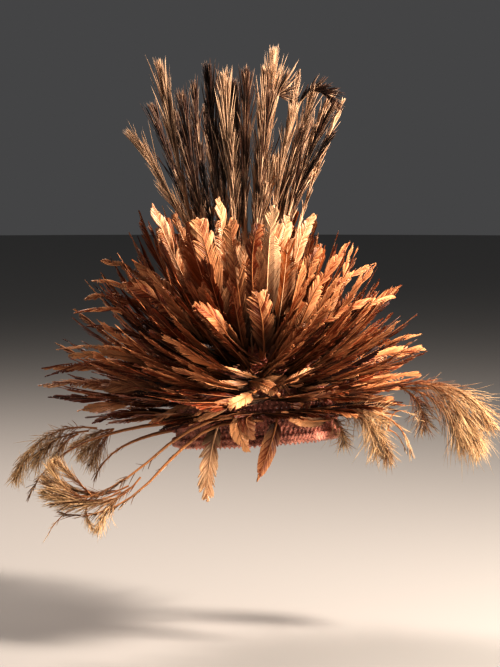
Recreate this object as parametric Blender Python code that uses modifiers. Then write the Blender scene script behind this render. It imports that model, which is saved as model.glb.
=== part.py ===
"""Feathered headdress: rings of bound feathers on a knotted fibre cap.

The cap is a hollow dome of knotted cord with a rolled band at its mouth. Nine rings of
feathers are bound round it, one above the other, and a ring of long plumes stands in the
crown. Long drooping plumes and a few short feathers are tied on below the lowest ring.

Metres, +Z up. The front faces -Y and the wearer's left is +X. The origin is the top of
the head, inside the cap. Azimuth 0 is the front, and it grows towards the wearer's left.
The whole headdress is worn tilted a little to the back.
"""

import math
import random
from collections import namedtuple

import bmesh
import bpy
from mathutils import Matrix, Vector

MM = 0.001

# Head and cap
HEAD_HALF_WIDTH = 69 * MM
HEAD_HALF_DEPTH = 88 * MM
CROWN_HEIGHT = 94 * MM
DOME_FULLNESS = 2.3  # exponent of the dome's outline: 2 is an ellipse, more is fuller
CAP_WALL = 3 * MM
CAP_SEGMENTS = 32
SPHERE_ROWS = 20  # the cap is the upper half of a sphere of so many rows
WORN_TILT = math.radians(6)

# Rolled band at the mouth
BAND_HEIGHT = 9 * MM
BAND_THICKNESS = 4 * MM
BAND_SEGMENTS = 32
BAND_OUTLINE = (  # shares of the band's thickness and height, flat against the cap
    (-0.5, -0.3),
    (0.1, -0.5),
    (0.5, -0.2),
    (0.5, 0.2),
    (0.1, 0.5),
    (-0.5, 0.3),
)

# Bindings: the cord ring that holds a row of quills, and the knot that holds one
RING_SIZE = 4 * MM
KNOT_WIDTH = 6 * MM
KNOT_HEIGHT = 5 * MM
KNOT_DEPTH = 4 * MM
FIT_GAP = 0.3 * MM

# Feather blades
FEATHER_LENGTH = 120 * MM
FEATHER_WIDTH = 16 * MM
PLUME_LENGTH = 230 * MM
PLUME_WIDTH = 26 * MM
VANE_THICKNESS = 1.6 * MM
VANE_CAMBER = 0.13  # share of the blade's width
QUILL_WIDTH = 3 * MM
TWIST_STARTS_FULL = 0.3  # share of the length at which a blade has its whole twist
PATH_STEPS = 24
BACK_LONGER = 0.14  # feathers at the back are longer by this share, those in front shorter

# How the hand-tied rows vary, as shares of the pitch or the length, and in degrees
AZIMUTH_JITTER = 0.16
LENGTH_JITTER = 0.08
LIFT_JITTER = 2.2
TWIST_JITTER = 20.0

# The rows are parted over the right temple, where their feathers sweep to either side
PARTING_AZIMUTH = -50.0
PARTING_SWEEP = 38.0
PARTING_REACH = 36.0

# A binding ring: how many degrees up the dome it lies and how many quills it binds
Ring = namedtuple("Ring", "name level count")

# Along a blade: shares of its length, of its width, of its camber and of its thickness
Section = namedtuple("Section", "along width camber thickness")
FEATHER_SECTIONS = (
    Section(0.08, 0.00, 0.0, 1.0),
    Section(0.30, 0.66, 0.8, 1.0),
    Section(0.58, 1.00, 1.0, 0.8),
    Section(0.86, 0.74, 0.8, 0.6),
    Section(1.00, 0.10, 0.0, 0.4),
)
PLUME_SECTIONS = (
    Section(0.06, 0.00, 0.0, 1.2),
    Section(0.25, 0.40, 0.4, 1.2),
    Section(0.48, 0.60, 0.6, 1.2),
    Section(0.70, 0.90, 0.8, 1.2),
    Section(0.88, 1.00, 0.8, 1.0),
    Section(1.00, 0.30, 0.0, 0.5),
)
CROWN_PLUME_SECTIONS = (
    Section(0.15, 0.00, 0.0, 1.2),
    Section(0.50, 0.62, 0.6, 1.2),
    Section(0.82, 1.00, 0.8, 1.0),
    Section(1.00, 0.40, 0.0, 0.5),
)

# Rows from the brim up: where each is bound, in degrees up the dome, and how its feathers
# rise, in degrees. Lengths and widths are shares of those of the row's kind of feather.
Tier = namedtuple("Tier", "name level count length width lift_root lift_tip parted upright")
TIERS = (
    Tier("tier_1_brim", 16.0, 20, 0.68, 0.94, 6, -6, 1, 1.0),
    Tier("tier_2", 24.5, 22, 1.00, 1.00, 4, 13, 1, 1.0),
    Tier("tier_3", 30.5, 22, 1.02, 1.06, 14, 27, 1, 1.0),
    Tier("tier_4", 37.0, 20, 1.05, 1.06, 25, 38, 1, 1.0),
    Tier("tier_5", 43.5, 18, 1.10, 1.13, 38, 51, 1, 1.0),
    Tier("tier_6", 50.0, 16, 1.12, 1.19, 47, 59, 1, 1.0),
    Tier("tier_7", 56.5, 14, 1.15, 1.31, 58, 68, 0, 0.8),
    Tier("tier_8_crown", 63.0, 12, 1.20, 1.56, 64, 72, 0, 0.5),
    Tier("tier_9_crown", 69.5, 10, 1.23, 1.69, 69, 75, 0, 0.2),
)

# Plumes of the crown in the order of their sockets, from azimuth 0 round to the left. The
# photo gives where each tip stands: its azimuth in degrees, then how far it is from the
# head's axis and how high above the crown, as shares of a long plume's length. Then come the
# degrees by which the plume's lift at its root is over its chord's, and its share of the width
Plume = namedtuple("Plume", "azimuth reach height arch width")
CROWN_PLUMES = (
    Plume(10, 0.52, 1.04, 15, 0.55),
    Plume(14, 0.41, 1.11, 9, 0.50),
    Plume(37, 0.50, 1.07, 6, 0.30),
    Plume(50, 0.46, 1.11, 12, 0.40),
    Plume(65, 0.35, 1.22, 6, 0.38),
    Plume(87, 0.52, 1.02, 5, 0.50),
    Plume(94, 0.28, 1.26, 3, 0.60),
    Plume(127, 0.33, 1.22, 2, 0.65),
    Plume(132, 0.46, 1.17, 2, 0.65),
    Plume(150, 0.35, 1.11, -6, 0.45),
    Plume(163, 0.48, 1.11, -3, 0.60),
    Plume(165, 0.28, 1.22, -10, 0.45),
    Plume(190, 0.41, 1.13, 2, 0.58),
    Plume(225, 0.30, 1.30, -5, 0.70),
    Plume(240, 0.48, 1.00, 12, 0.50),
    Plume(274, 0.35, 1.13, -8, 0.60),
    Plume(274, 0.14, 1.26, -5, 0.65),
    Plume(306, 0.30, 1.20, 4, 0.65),
    Plume(331, 0.22, 1.22, 2, 0.60),
    Plume(338, 0.39, 1.11, 9, 0.50),
    Plume(4, 0.26, 1.30, 2, 0.70),
    Plume(355, 0.39, 1.04, 9, 0.50),
)
PLUME_RING = Ring("top_plumes", 78.0, len(CROWN_PLUMES))

# Single feathers and plumes: the azimuth and the degrees up the dome of each one's knot,
# then how it rises and how far it turns, in degrees, at even steps along it
Tied = namedtuple("Tied", "name level azimuth length width lifts turns twist")
SIDE_PLUMES = (
    Tied("side_plume_1", 12, -58, 1.01, 1.0, (26, -18, -38, -24, 4), (-30, -66, -76, -80, -84), 30),
    Tied("side_plume_2", 12, -69, 0.92, 0.9, (8, -32, -44, -22, 20), (-22, -52, -64, -66, -68), 30),
    Tied("side_plume_3", 12.5, -120, 0.79, 0.8, (4, -6, -14, -36, -64), (-6, -14, -18, -22, -24), 0),
    Tied("side_plume_4", 8, -138, 0.45, 0.8, (-6, -12, -22, -44, -72), (0, 0, 0, 0, 0), 0),
    Tied("side_plume_5", 12, 6, 0.45, 1.0, (8, -4, -18, -56, -86), (4, 12, 22, 26, 28), 0),
    Tied("side_plume_6", 20.2, 38, 0.79, 1.3, (3, 4, -6, -34, -64), (0, 2, 4, 4, 4), 0),
)
BRIM_FEATHERS = (
    Tied("ear_feather", 12, -81, 0.70, 1.25, (-20, -80, -86, -88, -88), (0, 0, 0, 0, 0), -20),
    Tied("temple_feather", 12, -41, 0.58, 1.12, (10, -56, -82, -90, -92), (-4, -4, -4, -4, -4), -14),
    Tied("curled_feather", 12, -51, 0.40, 1.38, (14, -30, -66, -100, -130), (-8, -10, -12, -12, -12), 8),
    Tied("forehead_feather", 8.6, 3, 0.50, 0.88, (8, 4, 0, -2, -4), (-56, -76, -88, -98, -108), -60),
)

Finish = namedtuple("Finish", "name colour roughness")
FEATHER_BROWN = Finish("rust_feather", (0.30, 0.090, 0.028), 0.45)
CROWN_BROWN = Finish("light_feather", (0.42, 0.155, 0.050), 0.42)
PLUME_BROWN = Finish("dark_plume", (0.13, 0.075, 0.045), 0.60)
CORD_RED = Finish("knotted_cord", (0.17, 0.055, 0.040), 0.85)

Kind = namedtuple("Kind", "length width sections finish")
BODY_FEATHER = Kind(FEATHER_LENGTH, FEATHER_WIDTH, FEATHER_SECTIONS, FEATHER_BROWN)
CROWN_FEATHER = Kind(FEATHER_LENGTH, FEATHER_WIDTH, FEATHER_SECTIONS, CROWN_BROWN)
LONG_PLUME = Kind(PLUME_LENGTH, PLUME_WIDTH, PLUME_SECTIONS, PLUME_BROWN)
CROWN_PLUME = Kind(PLUME_LENGTH, PLUME_WIDTH, CROWN_PLUME_SECTIONS, PLUME_BROWN)


def clear_scene():
    for old in list(bpy.data.objects):
        bpy.data.objects.remove(old)


def material_of(finish):
    found = bpy.data.materials.get(finish.name)
    if found:
        return found
    made = bpy.data.materials.new(finish.name)
    made.use_nodes = True
    shader = made.node_tree.nodes["Principled BSDF"]
    shader.inputs["Base Color"].default_value = (*finish.colour, 1.0)
    shader.inputs["Roughness"].default_value = finish.roughness
    shader.inputs["Metallic"].default_value = 0.0
    return made


def add_object(name, bm, finish, parent, collection):
    bmesh.ops.triangulate(bm, faces=bm.faces, quad_method="SHORT_EDGE")
    bmesh.ops.recalc_face_normals(bm, faces=bm.faces)
    mesh = bpy.data.meshes.new(name)
    bm.to_mesh(mesh)
    bm.free()
    mesh.materials.append(material_of(finish))
    made = bpy.data.objects.new(name, mesh)
    collection.objects.link(made)
    made.parent = parent
    return made


def dome_frame(azimuth, level):
    """(point, normal, meridian) of the head's dome: level 0 is the mouth, 90 degrees the top."""
    power = 2 / DOME_FULLNESS
    ring = math.cos(level) ** power
    rise = math.sin(level) ** power
    east, south = math.sin(azimuth), -math.cos(azimuth)
    point = Vector(
        (
            HEAD_HALF_WIDTH * ring * east,
            HEAD_HALF_DEPTH * ring * south,
            CROWN_HEIGHT * (rise - 1),
        )
    )
    outward = ring ** (DOME_FULLNESS - 1)
    normal = Vector(
        (
            outward * east / HEAD_HALF_WIDTH,
            outward * south / HEAD_HALF_DEPTH,
            rise ** (DOME_FULLNESS - 1) / CROWN_HEIGHT,
        )
    ).normalized()
    around = Vector((HEAD_HALF_WIDTH * math.cos(azimuth), HEAD_HALF_DEPTH * math.sin(azimuth), 0))
    meridian = around.cross(normal).normalized()
    return point, normal, -meridian


def on_dome(azimuth, level, out, up, along=0.0):
    """A point out from the dome's inner face, up its meridian and along its level line."""
    point, normal, meridian = dome_frame(azimuth, level)
    return point + normal * out + meridian * up + meridian.cross(normal) * along


def chord_drop(level, segments):
    """How much nearer to the dome a ring's straight segments come than its corners do."""
    point, normal, _ = dome_frame(0, level)
    return normal.dot((point.x, point.y, 0)) * (1 - math.cos(math.pi / segments))


def build_cap(parent, collection):
    bm = bmesh.new()
    bmesh.ops.create_uvsphere(bm, u_segments=CAP_SEGMENTS, v_segments=SPHERE_ROWS, radius=1)
    below = [v for v in bm.verts if v.co.z < -0.5 / SPHERE_ROWS]
    bmesh.ops.delete(bm, geom=below, context="VERTS")
    for vert in bm.verts:
        level = math.asin(min(1.0, max(0.0, vert.co.z)))
        azimuth = math.atan2(vert.co.x, -vert.co.y)
        vert.co = on_dome(azimuth, level, 0, 0)
    cap = add_object("cap", bm, CORD_RED, parent, collection)
    wall = cap.modifiers.new("wall", "SOLIDIFY")
    wall.thickness = CAP_WALL
    wall.offset = 1.0
    wall.use_even_offset = True
    return cap


def turned_ring(bm, outline, segments):
    """A closed ring spun from an outline of (out, up) points about Z, before it is laid on the dome."""
    start = [bm.verts.new((1 + out, 0, up)) for out, up in outline]
    edges = [bm.edges.new((a, b)) for a, b in zip(start, start[1:] + start[:1])]
    bmesh.ops.spin(
        bm,
        geom=start + edges,
        cent=(0, 0, 0),
        axis=(0, 0, 1),
        dvec=(0, 0, 0),
        angle=2 * math.pi,
        steps=segments,
        use_merge=True,
        use_duplicate=False,
    )
    bmesh.ops.remove_doubles(bm, verts=bm.verts, dist=1e-7)


def lay_on_dome(bm, level, seat):
    for vert in bm.verts:
        azimuth = math.atan2(vert.co.x, -vert.co.y)
        out = math.hypot(vert.co.x, vert.co.y) - 1
        vert.co = on_dome(azimuth, level, seat + out, vert.co.z)


def build_band(parent, collection):
    bm = bmesh.new()
    outline = [(BAND_THICKNESS * out, BAND_HEIGHT * (up + 0.5)) for out, up in BAND_OUTLINE]
    turned_ring(bm, outline, BAND_SEGMENTS)
    seat = CAP_WALL + FIT_GAP + chord_drop(0, BAND_SEGMENTS) + BAND_THICKNESS / 2
    lay_on_dome(bm, 0, seat)
    return add_object("rim_band", bm, CORD_RED, parent, collection)


def heading(lift, azimuth):
    return Vector(
        (
            math.cos(lift) * math.sin(azimuth),
            -math.cos(lift) * math.cos(azimuth),
            math.sin(lift),
        )
    )


def keyed(values, share):
    """The value at a share of the length, between evenly spaced keys."""
    place = share * (len(values) - 1)
    low = min(int(place), len(values) - 2)
    return values[low] + (values[low + 1] - values[low]) * (place - low)


Blade = namedtuple("Blade", "start azimuth length width lifts turns twist sections")


def frames_along(blade):
    """(point, side, normal) at each of the blade's sections."""
    point, done, frames = blade.start.copy(), 0.0, []
    for section in blade.sections:
        steps = max(1, round((section.along - done) * PATH_STEPS))
        for step in range(steps):
            share = done + (section.along - done) * (step + 0.5) / steps
            stride = blade.length * (section.along - done) / steps
            azimuth = blade.azimuth + keyed(blade.turns, share)
            point = point + heading(keyed(blade.lifts, share), azimuth) * stride
        done = section.along
        lift = keyed(blade.lifts, done)
        azimuth = blade.azimuth + keyed(blade.turns, done)
        tangent = heading(lift, azimuth)
        twist = blade.twist * min(1.0, done / TWIST_STARTS_FULL)
        normal = Matrix.Rotation(twist, 3, tangent) @ heading(lift + math.pi / 2, azimuth)
        frames.append((point, tangent.cross(normal), normal))
    return frames


def grow_blade(bm, face, corner, blade):
    """Extrudes the blade from a face whose corners carry the roles 0 to 3."""
    for (point, side, normal), section in zip(frames_along(blade), blade.sections):
        face = bmesh.ops.extrude_discrete_faces(bm, faces=[face])["faces"][0]
        half = max(QUILL_WIDTH, blade.width * section.width) / 2
        if section.along == 1.0:
            half = blade.width * section.width / 2
        camber = blade.width * VANE_CAMBER * section.camber
        thick = max(VANE_THICKNESS, QUILL_WIDTH * (section.width == 0)) * section.thickness
        places = (
            point + side * half,
            point + normal * (camber + thick / 2),
            point - side * half,
            point + normal * (camber - thick / 2),
        )
        for vert in face.verts:
            vert.co = places[vert[corner]]


def parting_sweep(azimuth):
    """How far a feather rooted at this azimuth, in degrees, is swept from the parting."""
    away = (azimuth - PARTING_AZIMUTH + 180) % 360 - 180
    return math.copysign(PARTING_SWEEP * math.exp(-((away / PARTING_REACH) ** 2)), away)


def tier_blade(tier, kind, number, start, azimuth):
    """One feather of a ring, varied by hand-tying but the same at each run.

    The rings lie along the tilted cap, but upright rows spread evenly about the vertical.
    """
    chance = random.Random(100 * tier.level + number)
    pitch = 2 * math.pi / tier.count
    shift = pitch * AZIMUTH_JITTER * chance.uniform(-1, 1)
    longer = 1 - BACK_LONGER * math.cos(azimuth)
    length = kind.length * tier.length * longer * (1 + LENGTH_JITTER * chance.uniform(-1, 1))
    lift = math.radians(chance.uniform(-1, 1) * LIFT_JITTER)
    lift -= tier.upright * WORN_TILT * math.cos(azimuth)
    sweep = tier.parted * math.radians(parting_sweep(math.degrees(azimuth)))
    return Blade(
        start,
        azimuth,
        length,
        kind.width * tier.width,
        (math.radians(tier.lift_root) + lift, math.radians(tier.lift_tip) + lift),
        (shift + 0.3 * sweep, shift + sweep, shift + 1.2 * sweep),
        math.radians(TWIST_JITTER * chance.uniform(-1, 1)),
        kind.sections,
    )


def plume_blade(ring, kind, number, start, azimuth):
    """One plume of the crown: an arc from its socket to where its tip stands."""
    plume = CROWN_PLUMES[number]
    tip = heading(0, math.radians(plume.azimuth)) * plume.reach + Vector((0, 0, plume.height))
    chord = tip * kind.length - start
    lift, arch = math.asin(chord.z / chord.length), math.radians(plume.arch)
    return Blade(
        start,
        math.atan2(chord.x, -chord.y),
        chord.length * arch / math.sin(arch),
        kind.width * plume.width,
        (lift + arch, lift - arch),
        (0.0, 0.0),
        0.0,
        kind.sections,
    )


def build_ring(tier, kind, blade_of, parent, collection):
    """A binding ring on the cap, with a feather grown from every second of its outer faces."""
    bm = bmesh.new()
    corner = bm.verts.layers.int.new("corner")
    half, segments, level = RING_SIZE / 2, 2 * tier.count, math.radians(tier.level)
    outline = ((-half, -half), (half, -half), (half, half), (-half, half))
    turned_ring(bm, outline, segments)
    step = 2 * math.pi / segments
    sockets = []
    for face in bm.faces:
        if min(math.hypot(vert.co.x, vert.co.y) for vert in face.verts) < 1:
            continue
        middle = face.calc_center_median()
        azimuth = math.atan2(middle.x, -middle.y)
        place = (azimuth / step - 0.5) % segments
        if round(place) % 2 == 0:
            sockets.append((round(place) // 2 % tier.count, azimuth, face))
    for number, azimuth, face in sockets:
        for vert in face.verts:
            ahead = math.sin(math.atan2(vert.co.x, -vert.co.y) - azimuth) > 0
            above = vert.co.z > 0
            vert[corner] = {(0, 0): 0, (0, 1): 1, (1, 1): 2, (1, 0): 3}[(ahead, above)]
    seat = CAP_WALL + FIT_GAP + chord_drop(level, segments) + half
    lay_on_dome(bm, level, seat)
    bmesh.ops.recalc_face_normals(bm, faces=bm.faces)
    for number, azimuth, face in sorted(sockets, key=lambda socket: socket[0]):
        start = face.calc_center_median()
        grow_blade(bm, face, corner, blade_of(tier, kind, number, start, azimuth))
    return add_object(tier.name, bm, kind.finish, parent, collection)


def build_tied(tied, kind, parent, collection):
    """One feather or plume with the knot that ties it to the cap."""
    bm = bmesh.new()
    corner = bm.verts.layers.int.new("corner")
    bmesh.ops.create_cube(bm, size=1)
    azimuth, level = math.radians(tied.azimuth), math.radians(tied.level)
    seat = CAP_WALL + FIT_GAP + KNOT_DEPTH / 2
    socket = max(bm.faces, key=lambda face: face.calc_center_median().x)
    for vert in socket.verts:
        roles = {(0, 0): 0, (0, 1): 1, (1, 1): 2, (1, 0): 3}
        vert[corner] = roles[(vert.co.y > 0, vert.co.z > 0)]
    for vert in bm.verts:
        out, along, up = vert.co
        vert.co = on_dome(
            azimuth, level, seat + out * KNOT_DEPTH, up * KNOT_HEIGHT, along * KNOT_WIDTH
        )
    bmesh.ops.recalc_face_normals(bm, faces=bm.faces)
    blade = Blade(
        socket.calc_center_median(),
        azimuth,
        kind.length * tied.length,
        kind.width * tied.width,
        tuple(math.radians(lift) for lift in tied.lifts),
        tuple(math.radians(turn) for turn in tied.turns),
        math.radians(tied.twist),
        kind.sections,
    )
    grow_blade(bm, socket, corner, blade)
    return add_object(tied.name, bm, kind.finish, parent, collection)


def main():
    clear_scene()
    collection = bpy.data.collections.new("feathered_headdress")
    bpy.context.scene.collection.children.link(collection)
    worn = bpy.data.objects.new("worn_tilt", None)
    worn.rotation_euler = (-WORN_TILT, 0, 0)
    collection.objects.link(worn)

    build_cap(worn, collection)
    build_band(worn, collection)
    for tier in TIERS:
        kind = CROWN_FEATHER if "crown" in tier.name else BODY_FEATHER
        build_ring(tier, kind, tier_blade, worn, collection)
    build_ring(PLUME_RING, CROWN_PLUME, plume_blade, worn, collection)
    for plume in SIDE_PLUMES:
        build_tied(plume, LONG_PLUME, worn, collection)
    for feather in BRIM_FEATHERS:
        build_tied(feather, CROWN_FEATHER, worn, collection)


main()
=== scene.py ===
"""Feathered headdress: the dressed model round the part's frame.

Every feather is a quill with separate barbs, laid along the same line as its solid, and
smaller feathers fill the rows. The cap is a net of looped cord with a braided edge.

Metres, +Z up. The front faces -Y and the wearer's left is +X. Azimuth 0 is the front and
grows towards the wearer's left. Shapes are laid out on the untilted cap and then turned
by the tilt at which it is worn.
"""

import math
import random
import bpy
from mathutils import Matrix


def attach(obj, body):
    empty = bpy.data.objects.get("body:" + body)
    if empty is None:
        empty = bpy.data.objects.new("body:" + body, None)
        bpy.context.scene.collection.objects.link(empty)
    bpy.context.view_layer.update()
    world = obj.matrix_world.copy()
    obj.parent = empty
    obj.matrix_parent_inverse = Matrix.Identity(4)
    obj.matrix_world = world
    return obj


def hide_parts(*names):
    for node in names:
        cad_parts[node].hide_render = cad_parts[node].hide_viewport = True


bl_info = {
    "name": "Feathered Headdress",
    "version": (1, 0, 0),
    "blender": (4, 5, 0),
    "location": "View3D > Sidebar > Headdress",
    "description": "Builds the feathers, plumes and knotted cap of a feathered headdress",
    "category": "Add Mesh",
}

from collections import namedtuple
from functools import partial

import bmesh
import bpy
import numpy as np
from bpy.props import FloatProperty, FloatVectorProperty, PointerProperty
from mathutils import Vector

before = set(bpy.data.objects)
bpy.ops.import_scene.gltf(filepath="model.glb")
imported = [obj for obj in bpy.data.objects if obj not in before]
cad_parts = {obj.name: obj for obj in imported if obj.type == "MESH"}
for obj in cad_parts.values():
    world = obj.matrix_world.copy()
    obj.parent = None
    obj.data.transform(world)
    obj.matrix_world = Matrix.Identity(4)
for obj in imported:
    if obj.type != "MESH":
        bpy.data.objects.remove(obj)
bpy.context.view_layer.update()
MM = 0.001

# The cap's form, as in the part's solids
HEAD_HALF_WIDTH = 69 * MM
HEAD_HALF_DEPTH = 88 * MM
CROWN_HEIGHT = 94 * MM
DOME_FULLNESS = 2.3
CAP_WALL = 3 * MM
WORN_TILT = math.radians(6)
RING_SIZE = 4 * MM
FIT_GAP = 0.3 * MM
BAND_HEIGHT = 9 * MM
BAND_THICKNESS = 4 * MM
KNOT_DEPTH = 4 * MM

# The feathers' lines, as in the part's solids. A feather is tied on SOCKET_SHIFT of the pitch past a
# corner of its ring, its twist is full at TWIST_STARTS_FULL of its length, and it is longer at the
# back by BACK_LONGER. Chance turns it aside by a share of the pitch and changes its length by a
# share of itself, and its lift and twist by degrees. The parting's numbers are degrees.
FEATHER_LENGTH = 120 * MM
FEATHER_WIDTH = 16 * MM
PLUME_LENGTH = 230 * MM
PLUME_WIDTH = 26 * MM
TWIST_STARTS_FULL = 0.3
SOCKET_SHIFT = 0.25
BACK_LONGER = 0.14
AZIMUTH_JITTER = 0.16
LENGTH_JITTER = 0.08
LIFT_JITTER = 2.2
TWIST_JITTER = 20.0
PARTING_AZIMUTH = -50.0
PARTING_SWEEP = 38.0
PARTING_REACH = 36.0
LINE_STEPS = 24

# The outline of a vane: pairs of the share along the feather and the share of its half width
ROUND_TIP = (
    (0, 0), (0.05, 0.35), (0.13, 0.72), (0.28, 0.95), (0.5, 1),
    (0.78, 0.98), (0.9, 0.82), (0.96, 0.58), (1, 0),
)
BLADE_TIP = (
    (0, 0), (0.05, 0.35), (0.13, 0.74), (0.3, 0.98), (0.5, 1),
    (0.68, 0.9), (0.84, 0.66), (0.94, 0.38), (1, 0),
)

# How the barbs of a firm feather stand on its quill. Lengths are metres and angles degrees. camber
# is how far the vane arches, splits the most gaps on a side, pinch how far the barbs between two
# gaps pull together, comb the share of them that stand apart, and cover how far they overlap.
Vane = namedtuple(
    "Vane", "spacing start angle_root angle_tip outlines camber splits pinch loose ragged comb cover quill"
)
NARROW = Vane(
    spacing=2.9 * MM, start=0.06, angle_root=36, angle_tip=20, outlines=(BLADE_TIP, ROUND_TIP, BLADE_TIP),
    camber=0.14, splits=5, pinch=0.40, loose=0.04, ragged=0.12, comb=0.22, cover=1.62, quill=1.1 * MM,
)
BROAD = Vane(
    spacing=2.6 * MM, start=0.05, angle_root=42, angle_tip=24, outlines=(ROUND_TIP, BLADE_TIP),
    camber=0.16, splits=4, pinch=0.45, loose=0.03, ragged=0.06, comb=0.18, cover=1.75, quill=1.4 * MM,
)

SMOOTH = BROAD._replace(
    spacing=2.2 * MM, splits=1, pinch=0.2, loose=0.01, ragged=0.03, comb=0.0, outlines=(BLADE_TIP,)
)
PALE = BROAD._replace(splits=8, ragged=0.16, comb=0.3, outlines=(ROUND_TIP,))

# How the barbs of a loose plume stand on its stem. density is barbs a metre. fringe: pairs of the
# share along the stem and the barbs' length there as a share of the plume's width. roll is how far
# they stand out of the plume's own plane.
Loose = namedtuple("Loose", "density fringe angle roll forward curl droop stray thick quill")
BRUSH = Loose(
    density=640, fringe=((0, 0.15), (0.24, 0.3), (0.4, 1.6), (0.6, 3.0), (0.85, 3.0), (1, 1.5)),
    angle=7, roll=45, forward=0.0, curl=0.034, droop=0.0, stray=0.12, thick=0.62 * MM, quill=2.5 * MM,
)
DOWN = Loose(
    density=420, fringe=((0, 0.16), (0.4, 0.22), (0.6, 0.35), (1, 0.5)),
    angle=18, roll=50, forward=0.14, curl=0.14, droop=0.16, stray=0.1, thick=0.36 * MM, quill=2.3 * MM,
)
FLOWING = Loose(
    density=3000, fringe=((0, 0.35), (0.4, 0.9), (0.8, 0.9), (1, 0.6)),
    angle=17, roll=60, forward=0.10, curl=0.13, droop=0.06, stray=0.06, thick=0.29 * MM, quill=1.0 * MM,
)
HANGING = Loose(
    density=2900, fringe=((0, 0.4), (0.3, 0.9), (0.8, 1.0), (1, 0.7)),
    angle=30, roll=50, forward=0.08, curl=0.20, droop=0.38, stray=0.06, thick=0.27 * MM, quill=1.0 * MM,
)
FRIZZED = HANGING._replace(density=3600, angle=42, curl=0.34, droop=0.24, stray=0.1)
BARE = Loose(
    density=260, fringe=((0, 0.4), (1, 0.9)),
    angle=24, roll=60, forward=0.0, curl=0.1, droop=0.0, stray=0.1, thick=0.3 * MM, quill=0.8 * MM,
)

# Rows from the brim up, as in the part's solids: degrees up the dome, the count of feathers, shares
# of FEATHER_LENGTH and FEATHER_WIDTH, lifts in degrees, whether the row is parted, and the share of
# the cap's tilt that it undoes. Then the count of feathers that fill it, and its tone from 0 to 1.
Tier = namedtuple("Tier", "name level count length width lift_root lift_tip parted upright fill style tone")
TIERS = (
    Tier("tier_1_brim", 16.0, 20, 0.68, 0.94, 6, -6, 1, 1.0, 30, NARROW, 0.42),
    Tier("tier_2", 24.5, 22, 1.00, 1.00, 4, 13, 1, 1.0, 34, NARROW, 0.40),
    Tier("tier_3", 30.5, 22, 1.02, 1.06, 14, 27, 1, 1.0, 34, NARROW, 0.45),
    Tier("tier_4", 37.0, 20, 1.05, 1.06, 25, 38, 1, 1.0, 30, NARROW, 0.50),
    Tier("tier_5", 43.5, 18, 1.10, 1.13, 38, 51, 1, 1.0, 22, NARROW, 0.50),
    Tier("tier_6", 50.0, 16, 1.12, 1.19, 47, 59, 1, 1.0, 16, BROAD, 0.52),
    Tier("tier_7", 56.5, 14, 1.15, 1.31, 58, 68, 0, 0.8, 10, BROAD, 0.49),
    Tier("tier_8_crown", 63.0, 12, 1.20, 1.56, 64, 72, 0, 0.5, 8, BROAD, 0.45),
    Tier("tier_9_crown", 69.5, 10, 1.23, 1.69, 69, 75, 0, 0.2, 6, BROAD, 0.45),
)

# A binding ring: how many degrees up the dome it lies and how many quills it binds
Ring = namedtuple("Ring", "name level count")

# Plumes of the crown in the order of their sockets, as in the part's solids: where the tip stands,
# by its azimuth and by shares of PLUME_LENGTH, the arch in degrees and a share of PLUME_WIDTH
Plume = namedtuple("Plume", "azimuth reach height arch width tone")
CROWN_PLUMES = (
    Plume(10, 0.52, 1.04, 15, 0.55, 0.28),
    Plume(14, 0.41, 1.11, 9, 0.50, 0.66),
    Plume(37, 0.50, 1.07, 6, 0.30, 0.80),
    Plume(50, 0.46, 1.11, 12, 0.40, 0.70),
    Plume(65, 0.35, 1.22, 6, 0.38, 0.62),
    Plume(87, 0.52, 1.02, 5, 0.50, 0.45),
    Plume(94, 0.28, 1.26, 3, 0.60, 0.72),
    Plume(127, 0.33, 1.22, 2, 0.65, 0.18),
    Plume(132, 0.46, 1.17, 2, 0.65, 0.30),
    Plume(150, 0.35, 1.11, -6, 0.45, 0.55),
    Plume(163, 0.48, 1.11, -3, 0.60, 0.40),
    Plume(165, 0.28, 1.22, -10, 0.45, 0.35),
    Plume(190, 0.41, 1.13, 2, 0.58, 0.20),
    Plume(225, 0.30, 1.30, -5, 0.70, 0.62),
    Plume(240, 0.48, 1.00, 12, 0.50, 0.75),
    Plume(274, 0.35, 1.13, -8, 0.60, 0.25),
    Plume(274, 0.14, 1.26, -5, 0.65, 0.14),
    Plume(306, 0.30, 1.20, 4, 0.65, 0.70),
    Plume(331, 0.22, 1.22, 2, 0.60, 0.30),
    Plume(338, 0.39, 1.11, 9, 0.50, 0.45),
    Plume(4, 0.26, 1.30, 2, 0.70, 0.98),
    Plume(355, 0.39, 1.04, 9, 0.50, 0.76),
)
PLUME_RING = Ring("top_plumes", 78.0, len(CROWN_PLUMES))

# The thinner plume beside each: mm to the side, a share of its height, one of PLUME_WIDTH, and tones
THIN_ASIDE = 14
THIN_HEIGHTS = (0.64, 0.90)
THIN_WIDTHS = (0.3, 0.5)
THIN_TONES = (-0.35, 0.30)

# Single plumes, as in the part's solids: lifts and turns are those along the stem, in degrees
Tied = namedtuple("Tied", "name level azimuth length width lifts turns twist tone")
SIDE_PLUMES = (
    Tied("side_plume_1", 12, -58, 1.01, 1.0, (26, -18, -38, -24, 4), (-30, -66, -76, -80, -84), 30, 0.35),
    Tied("side_plume_2", 12, -69, 0.92, 0.9, (8, -32, -44, -22, 20), (-22, -52, -64, -66, -68), 30, 0.35),
    Tied("side_plume_3", 12.5, -120, 0.79, 0.8, (4, -6, -14, -36, -64), (-6, -14, -18, -22, -24), 0, 0.35),
    Tied("side_plume_4", 8, -138, 0.45, 0.8, (-6, -12, -22, -44, -72), (0, 0, 0, 0, 0), 0, 0.35),
    Tied("side_plume_5", 12, 6, 0.45, 1.0, (8, -4, -18, -56, -86), (4, 12, 22, 26, 28), 0, 0.55),
    Tied("side_plume_6", 20.2, 38, 0.79, 1.3, (3, 4, -6, -34, -64), (0, 2, 4, 4, 4), 0, 0.6),
)

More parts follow.
